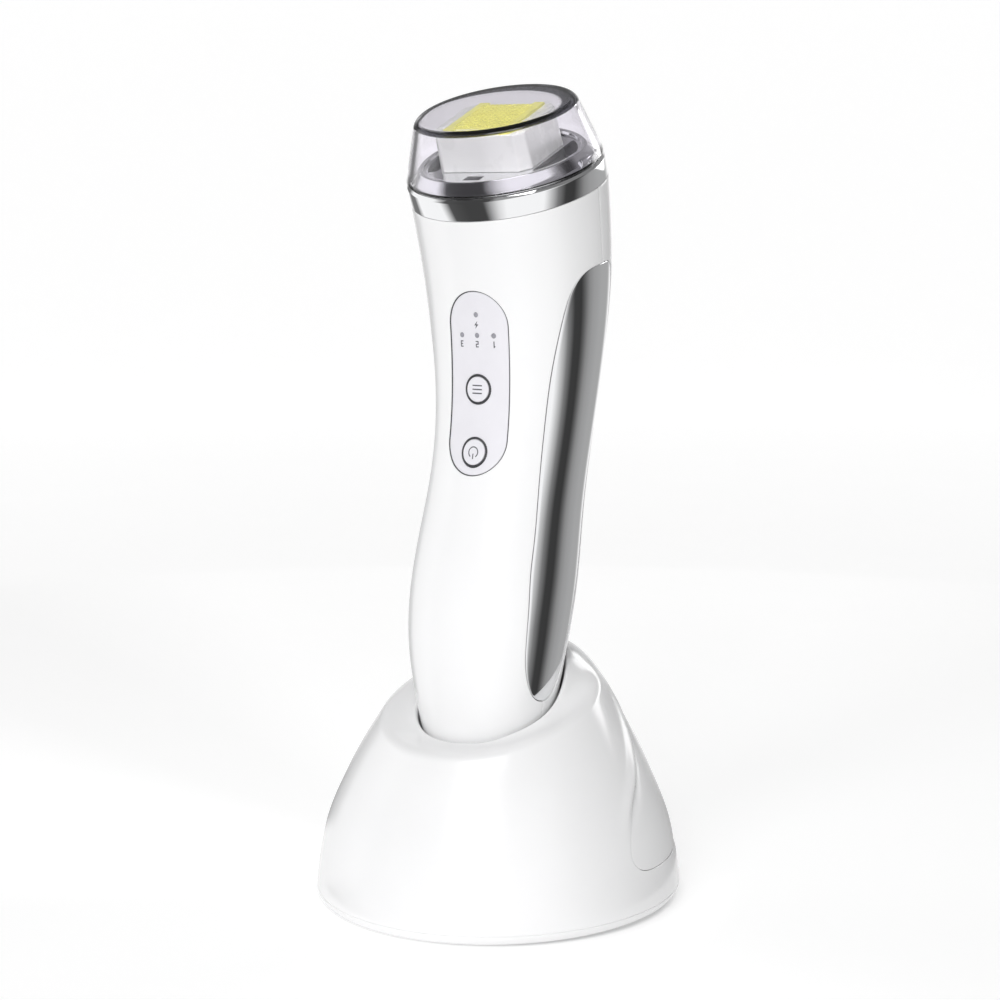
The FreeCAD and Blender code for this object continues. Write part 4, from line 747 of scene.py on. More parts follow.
def noise(nt, scale, detail=2.0, rough=0.5, coords="Object", stretch=None):
    tc = nt.nodes.new("ShaderNodeTexCoord")
    nz = nt.nodes.new("ShaderNodeTexNoise")
    nz.inputs["Scale"].default_value = scale
    nz.inputs["Detail"].default_value = detail
    nz.inputs["Roughness"].default_value = rough
    if stretch:
        mp = nt.nodes.new("ShaderNodeMapping")
        mp.inputs["Scale"].default_value = stretch
        nt.links.new(tc.outputs[coords], mp.inputs["Vector"])
        nt.links.new(mp.outputs["Vector"], nz.inputs["Vector"])
    else:
        nt.links.new(tc.outputs[coords], nz.inputs["Vector"])
    return nz


def ramp(nt, src, stops):
    r = nt.nodes.new("ShaderNodeValToRGB")
    el = r.color_ramp.elements
    while len(el) < len(stops):
        el.new(0.5)
    for e, (p, c) in zip(el, stops):
        e.position = p
        e.color = tuple(c) + (1.0,) if len(c) == 3 else tuple(c)
    nt.links.new(src, r.inputs["Fac"])
    return r


def span(nt, src, lo, hi):
    r = nt.nodes.new("ShaderNodeMapRange")
    r.inputs["From Min"].default_value = 0.3
    r.inputs["From Max"].default_value = 0.7
    r.inputs["To Min"].default_value = lo
    r.inputs["To Max"].default_value = hi
    nt.links.new(src, r.inputs["Value"])
    return r


def bump(nt, src, strength, dist):
    b = nt.nodes.new("ShaderNodeBump")
    b.inputs["Strength"].default_value = strength
    b.inputs["Distance"].default_value = dist
    nt.links.new(src, b.inputs["Height"])
    return b


def finish_mat(name, color, rough, metal=0.0, vary=0.012, vscale=45.0, rvary=0.03, rscale=120.0, grain=0.0, gscale=2500.0, gdist=2e-5, stretch=None, **sockets):
    """Moulded, plated or painted finish: slow colour drift, uneven gloss and a fine surface grain."""
    m, nt, bs = base_mat(name)
    c = np.array(color)
    n1 = noise(nt, vscale, 3.0, 0.55)
    r1 = ramp(nt, n1.outputs["Fac"], [(0.3, np.clip(c * (1 - vary), 0, 1)), (0.7, np.clip(c * (1 + vary), 0, 1))])
    nt.links.new(r1.outputs["Color"], bs.inputs["Base Color"])
    n2 = noise(nt, rscale, 4.0, 0.6, stretch=stretch)
    r2 = span(nt, n2.outputs["Fac"], max(rough - rvary, 0.0), rough + rvary)
    nt.links.new(r2.outputs["Result"], bs.inputs["Roughness"])
    if grain > 0:
        n3 = noise(nt, gscale, 2.0, 0.5, stretch=stretch)
        nt.links.new(bump(nt, n3.outputs["Fac"], grain, gdist).outputs["Normal"], bs.inputs["Normal"])
    bs.inputs["Metallic"].default_value = metal
    for k, v in sockets.items():
        bs.inputs[k.replace("_", " ")].default_value = v
    return m


def board_mat(name):
    m, nt, bs = base_mat(name)
    tc = nt.nodes.new("ShaderNodeTexCoord")
    br = nt.nodes.new("ShaderNodeTexBrick")
    br.inputs["Scale"].default_value = 420.0
    br.inputs["Mortar Size"].default_value = 0.03
    br.inputs["Color1"].default_value = (0.010, 0.10, 0.035, 1)
    br.inputs["Color2"].default_value = (0.014, 0.13, 0.045, 1)
    br.inputs["Mortar"].default_value = (0.045, 0.24, 0.09, 1)
    nt.links.new(tc.outputs["Object"], br.inputs["Vector"])
    nt.links.new(br.outputs["Color"], bs.inputs["Base Color"])
    n2 = noise(nt, 300, 3)
    nt.links.new(span(nt, n2.outputs["Fac"], 0.28, 0.42).outputs["Result"], bs.inputs["Roughness"])
    nt.links.new(bump(nt, br.outputs["Fac"], 0.3, 3e-5).outputs["Normal"], bs.inputs["Normal"])
    return m


def cell_mat(name):
    m, nt, bs = base_mat(name)
    n1 = noise(nt, 70, 3)
    r1 = ramp(nt, n1.outputs["Fac"], [(0.35, (0.02, 0.09, 0.30)), (0.65, (0.03, 0.12, 0.38))])
    nt.links.new(r1.outputs["Color"], bs.inputs["Base Color"])
    n2 = noise(nt, 900, 3, stretch=(1, 1, 0.15))
    nt.links.new(span(nt, n2.outputs["Fac"], 0.25, 0.4).outputs["Result"], bs.inputs["Roughness"])
    nt.links.new(bump(nt, n2.outputs["Fac"], 0.35, 4e-5).outputs["Normal"], bs.inputs["Normal"])
    return m


def winding_mat(name):
    m, nt, bs = base_mat(name)
    tc = nt.nodes.new("ShaderNodeTexCoord")
    wv = nt.nodes.new("ShaderNodeTexWave")
    wv.bands_direction = "Z"
    wv.inputs["Scale"].default_value = 900.0
    wv.inputs["Distortion"].default_value = 0.4
    nt.links.new(tc.outputs["Object"], wv.inputs["Vector"])
    r1 = ramp(nt, wv.outputs["Fac"], [(0.1, (0.32, 0.10, 0.03)), (0.7, (0.78, 0.32, 0.12))])
    nt.links.new(r1.outputs["Color"], bs.inputs["Base Color"])
    nt.links.new(bump(nt, wv.outputs["Fac"], 0.7, 1e-4).outputs["Normal"], bs.inputs["Normal"])
    n2 = noise(nt, 400, 3)
    nt.links.new(span(nt, n2.outputs["Fac"], 0.22, 0.36).outputs["Result"], bs.inputs["Roughness"])
    bs.inputs["Metallic"].default_value = 1.0
    return m


def clear_mat(name):
    m, nt, bs = base_mat(name)
    n1 = noise(nt, 30, 2)
    r1 = ramp(nt, n1.outputs["Fac"], [(0.3, (0.945, 0.925, 0.970)), (0.7, (0.960, 0.945, 0.982))])
    # place in the head's own frame: the rounded shoulder of the roof gets a near-black band, painted shade standing in
    # for the dark line that refraction makes along the roof's edge
    tc = nt.nodes.new("ShaderNodeTexCoord")
    mp = nt.nodes.new("ShaderNodeMapping")
    mp.inputs["Rotation"].default_value = (-TILT, 0.0, 0.0)
    mp.inputs["Location"].default_value = (0.0, -(4.525 * math.cos(TILT) + Z1 * math.sin(TILT) - 1.75) * MM,
                                           (4.525 * math.sin(TILT) - Z1 * math.cos(TILT)) * MM)
    nt.links.new(tc.outputs["Object"], mp.inputs["Vector"])
    sep = nt.nodes.new("ShaderNodeSeparateXYZ")
    nt.links.new(mp.outputs["Vector"], sep.inputs["Vector"])
    flat_ = nt.nodes.new("ShaderNodeVectorMath")
    flat_.operation = "MULTIPLY"
    flat_.inputs[1].default_value = (1000.0 / 18.6, 1000.0 / 14.1, 0.0)
    nt.links.new(mp.outputs["Vector"], flat_.inputs[0])
    rad = nt.nodes.new("ShaderNodeVectorMath")
    rad.operation = "LENGTH"
    nt.links.new(flat_.outputs["Vector"], rad.inputs[0])
    limits = []
    for src, lo, hi_ in ((sep.outputs["Z"], 19.02 * MM, 19.25 * MM), (rad.outputs["Value"], 0.98, 1.03)):
        mr = nt.nodes.new("ShaderNodeMapRange")
        mr.interpolation_type = "SMOOTHSTEP"
        mr.inputs["From Min"].default_value = lo
        mr.inputs["From Max"].default_value = hi_
        nt.links.new(src, mr.inputs["Value"])
        limits.append(mr)
    painted_rim_shade = nt.nodes.new("ShaderNodeMath")
    painted_rim_shade.operation = "MULTIPLY"
    nt.links.new(limits[0].outputs["Result"], painted_rim_shade.inputs[0])
    nt.links.new(limits[1].outputs["Result"], painted_rim_shade.inputs[1])
    # mix the near-black painted rim shade into the clear tint
    mx = nt.nodes.new("ShaderNodeMix")
    mx.data_type = "RGBA"
    nt.links.new(painted_rim_shade.outputs["Value"], mx.inputs[0])
    nt.links.new(r1.outputs["Color"], mx.inputs[6])
    mx.inputs[7].default_value = (0.012, 0.012, 0.015, 1)
    nt.links.new(mx.outputs[2], bs.inputs["Base Color"])
    n2 = noise(nt, 260, 3)
    nt.links.new(span(nt, n2.outputs["Fac"], 0.0, 0.025).outputs["Result"], bs.inputs["Roughness"])
    bs.inputs["Transmission Weight"].default_value = 1.0
    bs.inputs["IOR"].default_value = 1.49
    return m


WHITE = (0.86, 0.86, 0.865)
M = {
    "white_shell": finish_mat("gloss_white_shell", WHITE, 0.13, vary=0.008, rvary=0.02, grain=0.05, gscale=900, gdist=1e-5),
    "white_base": finish_mat("gloss_white_base", WHITE, 0.16, vary=0.008, rvary=0.025, grain=0.06, gscale=800, gdist=1e-5),
    "chrome_trim": finish_mat("chrome_plating", (0.86, 0.865, 0.875), 0.05, 1.0, vary=0.01, rvary=0.02, rscale=60),
    "panel_inlay": finish_mat("satin_panel", (0.765, 0.755, 0.795), 0.34, vary=0.015, vscale=200, rvary=0.05, grain=0.12, gscale=4200),
    "dark_ring": finish_mat("dark_ring_plastic", (0.055, 0.055, 0.06), 0.3, vary=0.15, vscale=500, rvary=0.06, grain=0.1),
    # near-black finish of the painted pocket shade in the dish
    "pocket_shade": finish_mat("painted_pocket_shade", (0.022, 0.022, 0.025), 0.16, vary=0.2, vscale=400, rvary=0.05),
    "print": finish_mat("panel_print", (0.10, 0.10, 0.115), 0.42, vary=0.12, vscale=900, rvary=0.05),
    "light_lens": finish_mat("lamp_lens", (0.42, 0.42, 0.46), 0.16, vary=0.1, vscale=1500, rvary=0.05, Transmission_Weight=0.25),
    "circuit_board": board_mat("circuit_board_laminate"),
    "chip_body": finish_mat("chip_epoxy", (0.025, 0.025, 0.027), 0.48, vary=0.2, vscale=700, rvary=0.08, grain=0.3, gscale=6000),
    "led_body": finish_mat("led_lens_body", (0.85, 0.82, 0.62), 0.25, vary=0.05, vscale=900, rvary=0.06),
    "screw_steel": finish_mat("screw_steel", (0.56, 0.565, 0.58), 0.24, 1.0, vary=0.05, vscale=300, rvary=0.08, rscale=700),
    "inner_plastic": finish_mat("inner_plastic", (0.62, 0.62, 0.60), 0.45, vary=0.03, vscale=150, rvary=0.08, grain=0.25, gscale=3500),
    "copper_wire": winding_mat("copper_wire"),
    "cell_wrap": cell_mat("cell_wrap"),
    "gold_contact": finish_mat("gold_contact", (0.86, 0.62, 0.27), 0.2, 1.0, vary=0.04, vscale=400, rvary=0.06),
    "head_white": finish_mat("head_satin_white", (0.88, 0.89, 0.865), 0.28, vary=0.012, vscale=120, rvary=0.05, grain=0.1, gscale=2500),
    "plate_gold": finish_mat("plate_gold", (0.95, 0.915, 0.22), 0.42, 0.0, vary=0.05, vscale=350, rvary=0.06, grain=0.1, gscale=3000, Specular_IOR_Level=0.3),
    "clear_cap": clear_mat("clear_cap_plastic"),
    "foot_rubber": finish_mat("foot_rubber", (0.06, 0.06, 0.062), 0.72, vary=0.15, vscale=300, rvary=0.08, grain=0.5, gscale=3000, gdist=4e-5),
}

# ------------------------------------------------------------------ handset pieces
PANEL_W, PANEL_L, PANEL_Z = 16.6, 44.4, 129.5
BUTTONS = {"mode": 128.0, "power": 112.8}
LIGHTS = [(0.0, 146.1), (-4.6, 141.1), (0.0, 141.1), (4.6, 141.1)]

hole = stadium(PANEL_W + 2 * 0.22 + 2 * EDGE_R, PANEL_L + 2 * 0.22 + 2 * EDGE_R, PANEL_Z)
P, N, F = shell_skin("front", 101, window=(103.5, 156.0, 0.60, [hole], 0.45))
V, F = thick(P, N, F, 2.2, EDGE_R)
make("front_casing", V, F, "handset", M["white_shell"], ["front_shell"])

plugs = [(0.0, 98.7), (0.0, 160.5)]
P, N, F = shell_skin("rear", 101, window=(93.0, 166.0, 0.16, [circle(x, z, 2.2 + EDGE_R, 40) for x, z in plugs], 0.4))
V, F = thick(P, N, F, 2.2, EDGE_R)
make("rear_casing", V, F, "handset", M["white_shell"], ["rear_shell"])

vs, fs = [], []
for x, z in plugs:
    loops = []
    for r, d in ((2.0, 0.9), (2.1, 0.5), (2.1, -0.02), (2.06, -0.06), (1.98, -0.08), (1.2, -0.08), (0.6, -0.08), (0.15, -0.08)):
        p, nn = skin_xz(circle(x, z, r, 40), 1)
        loops.append(p - nn * (d + 0.1))
    v, f = loops_solid(loops)
    fs += [tuple(i + sum(len(q) for q in vs) for i in g) for g in f]
    vs.append(v)
ob = make("rear_plugs", np.concatenate(vs), fs, "handset", M["white_shell"], ["screw_plugs"])


def strip_mesh(side):
    """Chrome side strip: crowned face with rolled edge, closed underneath."""
    n, cols = 150, 27
    fr, bk = branches(-0.15 - EDGE_R, n)
    u = np.linspace(0, 1, cols)
    grid = fr[:, None, :] * (1 - u)[None, :, None] + bk[:, None, :] * u[None, :, None]
    th, v = grid[..., 0] / 20.0, grid[..., 1]
    nn = hand_normal(th, v)
    p = hand(th, v) - nn * 0.25
    P, N = p.reshape(-1, 3), nn.reshape(-1, 3)
    faces = []
    for i in range(n):
        for j in range(cols - 1):
            a, b = i * cols + j, i * cols + j + 1
            faces.append((a, b, b + cols, a + cols))
    # the tips close to one point each
    keep = []
    remap = np.arange(len(P))
    remap[:cols] = 0
    remap[-cols:] = len(P) - 1
    for f in faces:
        g = []
        for i in f:
            r = int(remap[i])
            if r not in g:
                g.append(r)
        if len(g) > 2:
            keep.append(tuple(g))
    P, N, faces = drop_unused(P, N, keep)
    V, F = thick(P, N, faces, 1.1, EDGE_R, seg=4)
    if side < 0:
        V = V * np.array([-1, 1, 1])
        F = [tuple(reversed(f)) for f in F]
    return V, F


for side, nm in ((1, "right"), (-1, "left")):
    V, F = strip_mesh(side)
    make("chrome_strip_" + nm, V, F, "handset", M["chrome_trim"], ["side_electrode_" + nm])

# control panel with its holes, set a little below the skin
pr = 0.12
PANEL_IN = 0.30
outer = stadium(PANEL_W - 2 * pr, PANEL_L - 2 * pr, PANEL_Z)
holes = [circle(0, z, 3.70 + pr, 56) for z in BUTTONS.values()] + [circle(x, z, 0.67 + 0.05, 20) for x, z in LIGHTS]
pts, tri = flat_mesh(outer, holes, lattice(outer, holes, 0.9))
P, N = skin_xz(pts, -1, -PANEL_IN)
tri = tri[:, ::-1] if np.cross(P[tri[0, 1]] - P[tri[0, 0]], P[tri[0, 2]] - P[tri[0, 0]]) @ N[tri[0, 0]] < 0 else tri
V, F = thick(P, N, tri, 0.6, pr * 0.8)
make("control_panel_face", V, F, "handset", M["panel_inlay"], ["control_panel"])

# dark line between panel and casing
loops = []
for w, d in ((0.02, 0.85), (0.02, 0.34), (0.05, 0.30), (0.12, 0.26), (0.15, 0.16), (0.17, 0.13), (0.20, 0.16), (0.20, 0.85)):
    p, nn = skin_xz(stadium(PANEL_W + 2 * w, PANEL_L + 2 * w, PANEL_Z, 60, 50), -1)
    loops.append(p - nn * d)
V, F = loops_solid(loops, ring=True)
make("panel_outline", V, F, "handset", M["dark_ring"])

# button rings
vs, fs = [], []
for z in BUTTONS.values():
    loops = []
    for r, d in ((3.2, 1.6), (3.2, 0.24), (3.23, 0.17), (3.32, 0.12), (3.44, 0.11), (3.56, 0.14), (3.65, 0.20), (3.68, 0.28), (3.68, 1.6)):
        p, nn = skin_xz(circle(0, z, r, 72), -1)
        loops.append(p + np.array([0, d, 0]))
    v, f = loops_solid(loops, ring=True)
    fs += [tuple(i + sum(len(q) for q in vs) for i in g) for g in f]
    vs.append(v)
make("button_rings", np.concatenate(vs), fs, "handset", M["dark_ring"], ["button_bezels"])

for nm, z in BUTTONS.items():
    loops = []
    for r, d in ((3.1, 2.6), (3.1, 0.26), (3.07, 0.16), (2.99, 0.08), (2.86, 0.035), (2.6, 0.015), (2.1, 0.0), (1.5, 0.0), (0.9, 0.0), (0.3, 0.0)):
        p, nn = skin_xz(circle(0, z, r, 72), -1)
        loops.append(p + np.array([0, d, 0]))
    V, F = loops_solid(loops)
    make(nm + "_button_cap", V, F, nm + "_button", M["panel_inlay"], [nm + "_button"])


def dome_light(spots):
    vs, fs = [], []
    for x, z in spots:
        loops = []
        for r, d in ((0.6, 1.2), (0.6, 0.36), (0.57, 0.31), (0.5, 0.27), (0.4, 0.24), (0.25, 0.215), (0.08, 0.205)):
            p, nn = skin_xz(circle(x, z, r, 28), -1)
            loops.append(p + np.array([0, d, 0]))
        v, f = loops_solid(loops)
        fs += [tuple(i + sum(len(q) for q in vs) for i in g) for g in f]
        vs.append(v)
    return np.concatenate(vs), fs


V, F = dome_light(LIGHTS[:1])
make("charge_lamp", V, F, "handset", M["light_lens"], ["charge_light"])
V, F = dome_light(LIGHTS[1:])
make("level_lamps", V, F, "handset", M["light_lens"], ["level_lights"])


# printed marks: flat shapes in (x, z) laid on the surface
def bar(x0, z0, x1, z1, w, n=6):
    a, b = np.array([x0, z0]), np.array([x1, z1])
    d = (b - a) / np.linalg.norm(b - a)
    s = np.array([-d[1], d[0]]) * w / 2
    t = np.linspace(0, 1, n)[:, None]
    return ccw(np.concatenate([a + s + (b - a) * t, (b - s) + (a - b) * t]))


def ring_part(x, z, r0, r1, a0, a1, n=28):
    t = np.linspace(a0, a1, n)
    return ccw(np.concatenate([np.stack([x + r1 * np.cos(t), z + r1 * np.sin(t)], 1),
                               np.stack([x + r0 * np.cos(t[::-1]), z + r0 * np.sin(t[::-1])], 1)]))


def digit(k, x, z, h):
    """Plain numeral drawn with bars, upside down as it is read from the head end."""
    w, s = h * 0.52, h * 0.16
    T, Mi, B = h / 2 - s / 2, 0.0, -h / 2 + s / 2
    R, L = w / 2 - s / 2, -w / 2 + s / 2
    seg = {"1": [(0.0, B - s / 2, 0.0, T + s / 2), (-w * 0.34, T - h * 0.17, 0.0, T + s * 0.2)],
           "2": [(L - s / 2, T, R + s / 2, T), (R, T, R, Mi), (L - s / 2, Mi, R + s / 2, Mi), (L, Mi, L, B), (L - s / 2, B, R + s / 2, B)],
           "3": [(L - s / 2, T, R + s / 2, T), (R, T, R, B), (L, Mi, R, Mi), (L - s / 2, B, R + s / 2, B)]}[k]
    return [bar(x - a, z - b, x - c, z - d, s) for a, b, c, d in seg]


def marks(name, shapes, body, lift):
    """Thin ink laid on the surface; each shape a closed flake."""
    vs, fs, off = [], [], 0
    for k, loop in enumerate(shapes):
        pts, tri = flat_mesh(loop, [], np.zeros((0, 2)))
        p, nn = skin_xz(pts, -1)
        up = p + np.array([0, -lift - 0.002 * (k % 3), 0])
        tri = tri[:, ::-1] if np.cross(up[tri[0, 1]] - up[tri[0, 0]], up[tri[0, 2]] - up[tri[0, 0]]) @ nn[tri[0, 0]] < 0 else tri
        v, f = thick(up, nn, tri, 0.03, 0.004, seg=1)
        vs.append(v)
        fs += [tuple(i + off for i in g) for g in f]
        off += len(v)
    return make(name, np.concatenate(vs), fs, body, M["print"], smooth=False)


bolt = ccw(np.array([[0.35, 1.0], [-0.62, -0.12], [-0.05, -0.12], [-0.35, -1.0], [0.62, 0.14], [0.05, 0.14]]) * 0.95 * -1 + np.array([0.0, 143.7]))
shapes = [bolt]
for k, (x, z) in zip("321", LIGHTS[1:]):
    shapes += digit(k, x, z - 2.1, 1.55)
marks("panel_marks", shapes, "handset", 0.02 - PANEL_IN)
zb = BUTTONS["power"]
marks("power_mark", [ring_part(0, zb, 1.15, 1.42, math.radians(-90 + 35), math.radians(270 - 35)), bar(0, zb - 0.35, 0, zb - 1.65, 0.28)], "power_button", 0.02)
zb = BUTTONS["mode"]
marks("mode_mark", [bar(-1.35, zb + dz, -1.35 + ln, zb + dz, 0.3) for dz, ln in ((0.95, 2.7), (0.0, 2.7), (-0.95, 2.7))], "mode_button", 0.02)

# ------------------------------------------------------------------ head pieces
A0, B0 = 25.44, 22.50
prof = rounded([(0.0, 0.06), (0.0, 4.75), (-0.62, 5.5), (-2.0, 5.5), (-2.0, 0.06)], [0.12, 0.35, 0.2, 0.1, 0.1])
V, F = loops_solid([oval(A0 + p[0], B0 + p[0], p[1], 240) for p in prof[::-1]], ring=True)
make("trim_ring", V, F, "handset", M["chrome_trim"], ["lower_trim_ring"])

prof = [(24.5, 21.6, 5.5), (24.5, 21.6, 5.74), (24.44, 21.54, 5.8), (23.1, 20.3, 5.8), (22.95, 20.15, 5.86), (22.88, 20.08, 6.0)]
prof += [(22.88 - 1.30 * k, 20.08 - 0.93 * k, 6.0 + 2.45 * k) for k in (0.02, 0.25, 0.5, 0.75, 0.98)]
prof += [(21.55, 19.12, 8.53), (21.47, 19.04, 8.63), (21.36, 18.93, 8.69), (21.22, 18.8, 8.7), (20.35, 17.95, 8.7), (20.25, 17.85, 8.66), (20.2, 17.8, 8.58)]
prof += [(20.2, 17.8, 7.95), (20.12, 17.72, 7.83), (19.9, 17.5, 7.8), (16, 14.2, 7.8), (10, 9, 7.8), (4, 3.6, 7.8)]
V, F = loops_solid([oval(a, b, h, 240) for a, b, h in prof])
make("collar", V, F, "handset", M["chrome_trim"], ["head_collar"])


def rounded_box(cx, cy, cz, sx, sy, sz, r, seg=3):
    """Box with rounded edges in the head frame, built from stacked rounded outlines."""
    def outline(dx, dy, rr):
        pts = []
        for qx, qy, a0 in ((1, 1, 0), (-1, 1, 90), (-1, -1, 180), (1, -1, 270)):
            for k in range(seg + 1):
                a = math.radians(a0 + 90 * k / seg)
                pts.append((cx + qx * (dx - rr) + rr * math.cos(a), cy + qy * (dy - rr) + rr * math.sin(a)))
        return np.array(pts)
    loops = []
    for s in (-1, 1):
        order = range(seg + 1) if s < 0 else range(seg, -1, -1)
        for k in order:
            a = PI / 2 * k / seg
            ins = r * (1 - math.sin(a))
            q = outline(sx / 2 - ins, sy / 2 - ins, max(r - ins * 0.5, 0.02))
            h = cz + s * (sz / 2 - r * (1 - math.cos(a)))
            loops.append(head(q[:, 0], q[:, 1], np.full(len(q), h)))
    return loops_solid(loops)


vs, fs = [], []
for sx in (-1, 1):
    v, f = rounded_box(sx * 22.25, 0, 6.75, 1.6, 4.4, 1.2, 0.22)
    fs += [tuple(i + sum(len(q) for q in vs) for i in g) for g in f]
    vs.append(v)
make("cap_catches", np.concatenate(vs), fs, "handset", M["chrome_trim"])
vs, fs = [], []
for sy in (-1, 1):
    v, f = rounded_box(0, sy * 13.85, 7.72, 4.6, 2.4, 0.24, 0.08)
    fs += [tuple(i + sum(len(q) for q in vs) for i in g) for g in f]
    vs.append(v)
make("collar_slots", np.concatenate(vs), fs, "handset", M["dark_ring"])

# dark crescents in the dish on both sides of the block: painted shade for the dark pockets there
vs, fs = [], []
for sx in (-1, 1):
    a = np.linspace(-0.62, 0.74, 60)
    bow = np.stack([19.2 * np.cos(a), 16.8 * np.sin(a)], 1)
    cut = bow[:, 0] > 13.7
    bow = bow[cut]
    back = np.stack([np.full(24, 13.7), np.linspace(bow[-1, 1], bow[0, 1], 26)[1:-1]], 1)
    lens = np.concatenate([bow, back]) * np.array([sx, 1.0])
    lens = ccw(lens)
    loops = [head(q[:, 0], q[:, 1], np.full(len(q), h)) for q, h in
             ((lens, 7.60), (lens, 7.83), (offset_loop(lens, -0.05), 7.86), (offset_loop(lens, -0.25), 7.865), (offset_loop(lens, -0.6), 7.82), (offset_loop(lens, -1.0), 7.81))]
    v, f = loops_solid(loops)
    fs += [tuple(i + sum(len(q) for q in vs) for i in g) for g in f]
    vs.append(v)
make("dish_pocket_shade", np.concatenate(vs), fs, "handset", M["pocket_shade"])

# clear cap
K0, K1 = 5.95, 20.25


def cap_ab(h):
    k = (h - K0) / (K1 - K0)
    return 25.3 + (20.75 - 25.3) * k, 22.4 + (17.95 - 22.4) * k


def cap_oval(a, b, h):
    """Oval of the cap; its middle drifts back towards the roof."""
    p = oval(a, b, h, 240)
    return p + (head(0, 1.05 * min(max((h - K0) / (K1 - K0), 0), 1), 0) - head(0, 0, 0))


out_l, in_l = [], []
for h in (5.95, 5.99, 6.1, 8, 10, 12, 14, 16, 17.6, 18.75):
    a, b = cap_ab(h)
    e = 0.18 if h == 5.95 else (0.06 if h == 5.99 else 0.0)
    out_l.append((a - e, b - e, h))
for k in range(1, 9):
    al = PI / 2 * k / 8
    h = K1 - 1.5 + 1.5 * math.sin(al)
    a, b = cap_ab(h)
    out_l.append((a - 1.5 * (1 - math.cos(al)), b - 1.5 * (1 - math.cos(al)), h))
at, bt = out_l[-1][0], out_l[-1][1]
for k in (0.97, 0.85, 0.7, 0.5, 0.3, 0.1):
    out_l.append((at * k, bt * k, K1 + 0.25 * (1 - k * k)))
hi = K1 - 1.35
for k in (0.1, 0.3, 0.5, 0.7, 0.85, 0.95):
    a, b = cap_ab(hi)
    in_l.append(((a - 2.15) * k, (b - 2.15) * k, hi + 0.12 * (1 - k * k)))
for k in range(1, 6):
    al = PI / 2 * k / 5
    h = hi - 0.6 + 0.6 * math.cos(al)
    a, b = cap_ab(h)
    in_l.append((a - 1.55 - 0.6 * (1 - math.sin(al)), b - 1.55 - 0.6 * (1 - math.sin(al)), h))
for h in (17, 15, 13, 11, 9, 7, 6.1, 5.99, 5.95):
    a, b = cap_ab(h)
    e = -0.18 if h == 5.95 else (-0.06 if h == 5.99 else 0.0)
    in_l.append((a - 1.55 - e, b - 1.55 - e, h))
loops = [cap_oval(a, b, h) for a, b, h in out_l]
inner = [cap_oval(a, b, h) for a, b, h in in_l]
V1_, F1_ = loops_solid(loops, cap_start=False)
V2_, F2_ = loops_solid(inner, cap_end=False)
F = list(F1_) + [tuple(i + len(V1_) for i in f) for f in F2_]
last = (len(inner) - 1) * 240 + len(V1_)
F += [(last + j, last + (j + 1) % 240, (j + 1) % 240, j) for j in range(240)]
cap = make("clear_cap_shell", np.concatenate([V1_, V2_]), F, "cap", M["clear_cap"], ["protective_cap"])
cap.visible_shadow = False

# ------------------------------------------------------------------ charging base pieces
NB = 288
tb = -PI / 2 + 2 * PI * np.arange(NB) / NB
rows_v = np.concatenate([np.linspace(0, 1, 62), 1 + np.linspace(0, 1, 25)[1:]])
tt_, vv_ = np.meshgrid(tb, rows_v)
P = base_point(tt_, vv_)
N = num_normal(base_point, tt_, vv_)
edge = _tab_p3
p3 = P[-1]
ze = p3[:, 2]
rowsP, rowsN = [P], [N]


def add_row(pts):
    rowsP.append(pts[None])


for k in range(1, 8):
    e = PI / 2 * k / 7
    add_row(well_point(ze - 1.1 * (1 - math.cos(e)), tb, 0.55 + 0.8 * (1 - math.sin(e))))
for k in (0.93, 0.8, 0.65, 0.5, 0.35, 0.22, 0.1, 0.04):
    add_row(well_point(32.85 + 0.6 + (ze - 1.1 - 33.45) * k, tb, 0.55))
for k in range(0, 5):
    e = PI / 2 * k / 4
    add_row(well_point(np.full(NB, 32.85 + 0.6 * (1 - math.sin(e))), tb, 0.55 - 0.6 * (1 - math.cos(e))))
G = np.concatenate(rowsP)
nr = len(G)
d1 = np.roll(G, -1, 1) - np.roll(G, 1, 1)
d2 = np.gradient(G, axis=0)
NN = unit(np.cross(d1, d2))
NN[:len(rows_v)] = N
P, N = G.reshape(-1, 3), NN.reshape(-1, 3)
faces = grid_faces(nr, NB, wrap=True)

# opening for the rear cover, cut in (angle, height share)
loop = rear_loop(0.07 + EDGE_R, 0.0)


def share(tz):
    zs = np.interp(tz[:, 0], _tab_t, _tab_z)
    lo = SEAM_Z + EDGE_R + 0.05
    return (tz[:, 1] - lo) / (zs - lo)


chart = np.array([40.0, 55.0])
hole2 = np.stack([loop[:, 0], share(loop)], 1) * chart
j0 = int(np.searchsorted(tb, loop[:, 0].min() - 0.20))
j1 = int(np.searchsorted(tb, loop[:, 0].max() + 0.20))
i0 = int(np.searchsorted(rows_v, hole2[:, 1].min() / 55.0 - 0.10))
i1 = 62 + 9
ring = ([(i0, j) for j in range(j0, j1)] + [(i, j1) for i in range(i0, i1)]
        + [(i1, j) for j in range(j1, j0, -1)] + [(i, j0) for i in range(i1, i0, -1)])
ring = np.array([i * NB + j for i, j in ring])
flat = np.stack([np.tile(tb, nr), np.repeat(np.concatenate([rows_v, np.full(nr - len(rows_v), 3.0)]), NB)], 1) * chart
inner = np.array([i * NB + j for i in range(i0 + 1, i1) for j in range(j0 + 1, j1)])
ok = ~inside(hole2, flat[inner]) & (near([hole2], flat[inner]) > 0.5)
inner = inner[ok]
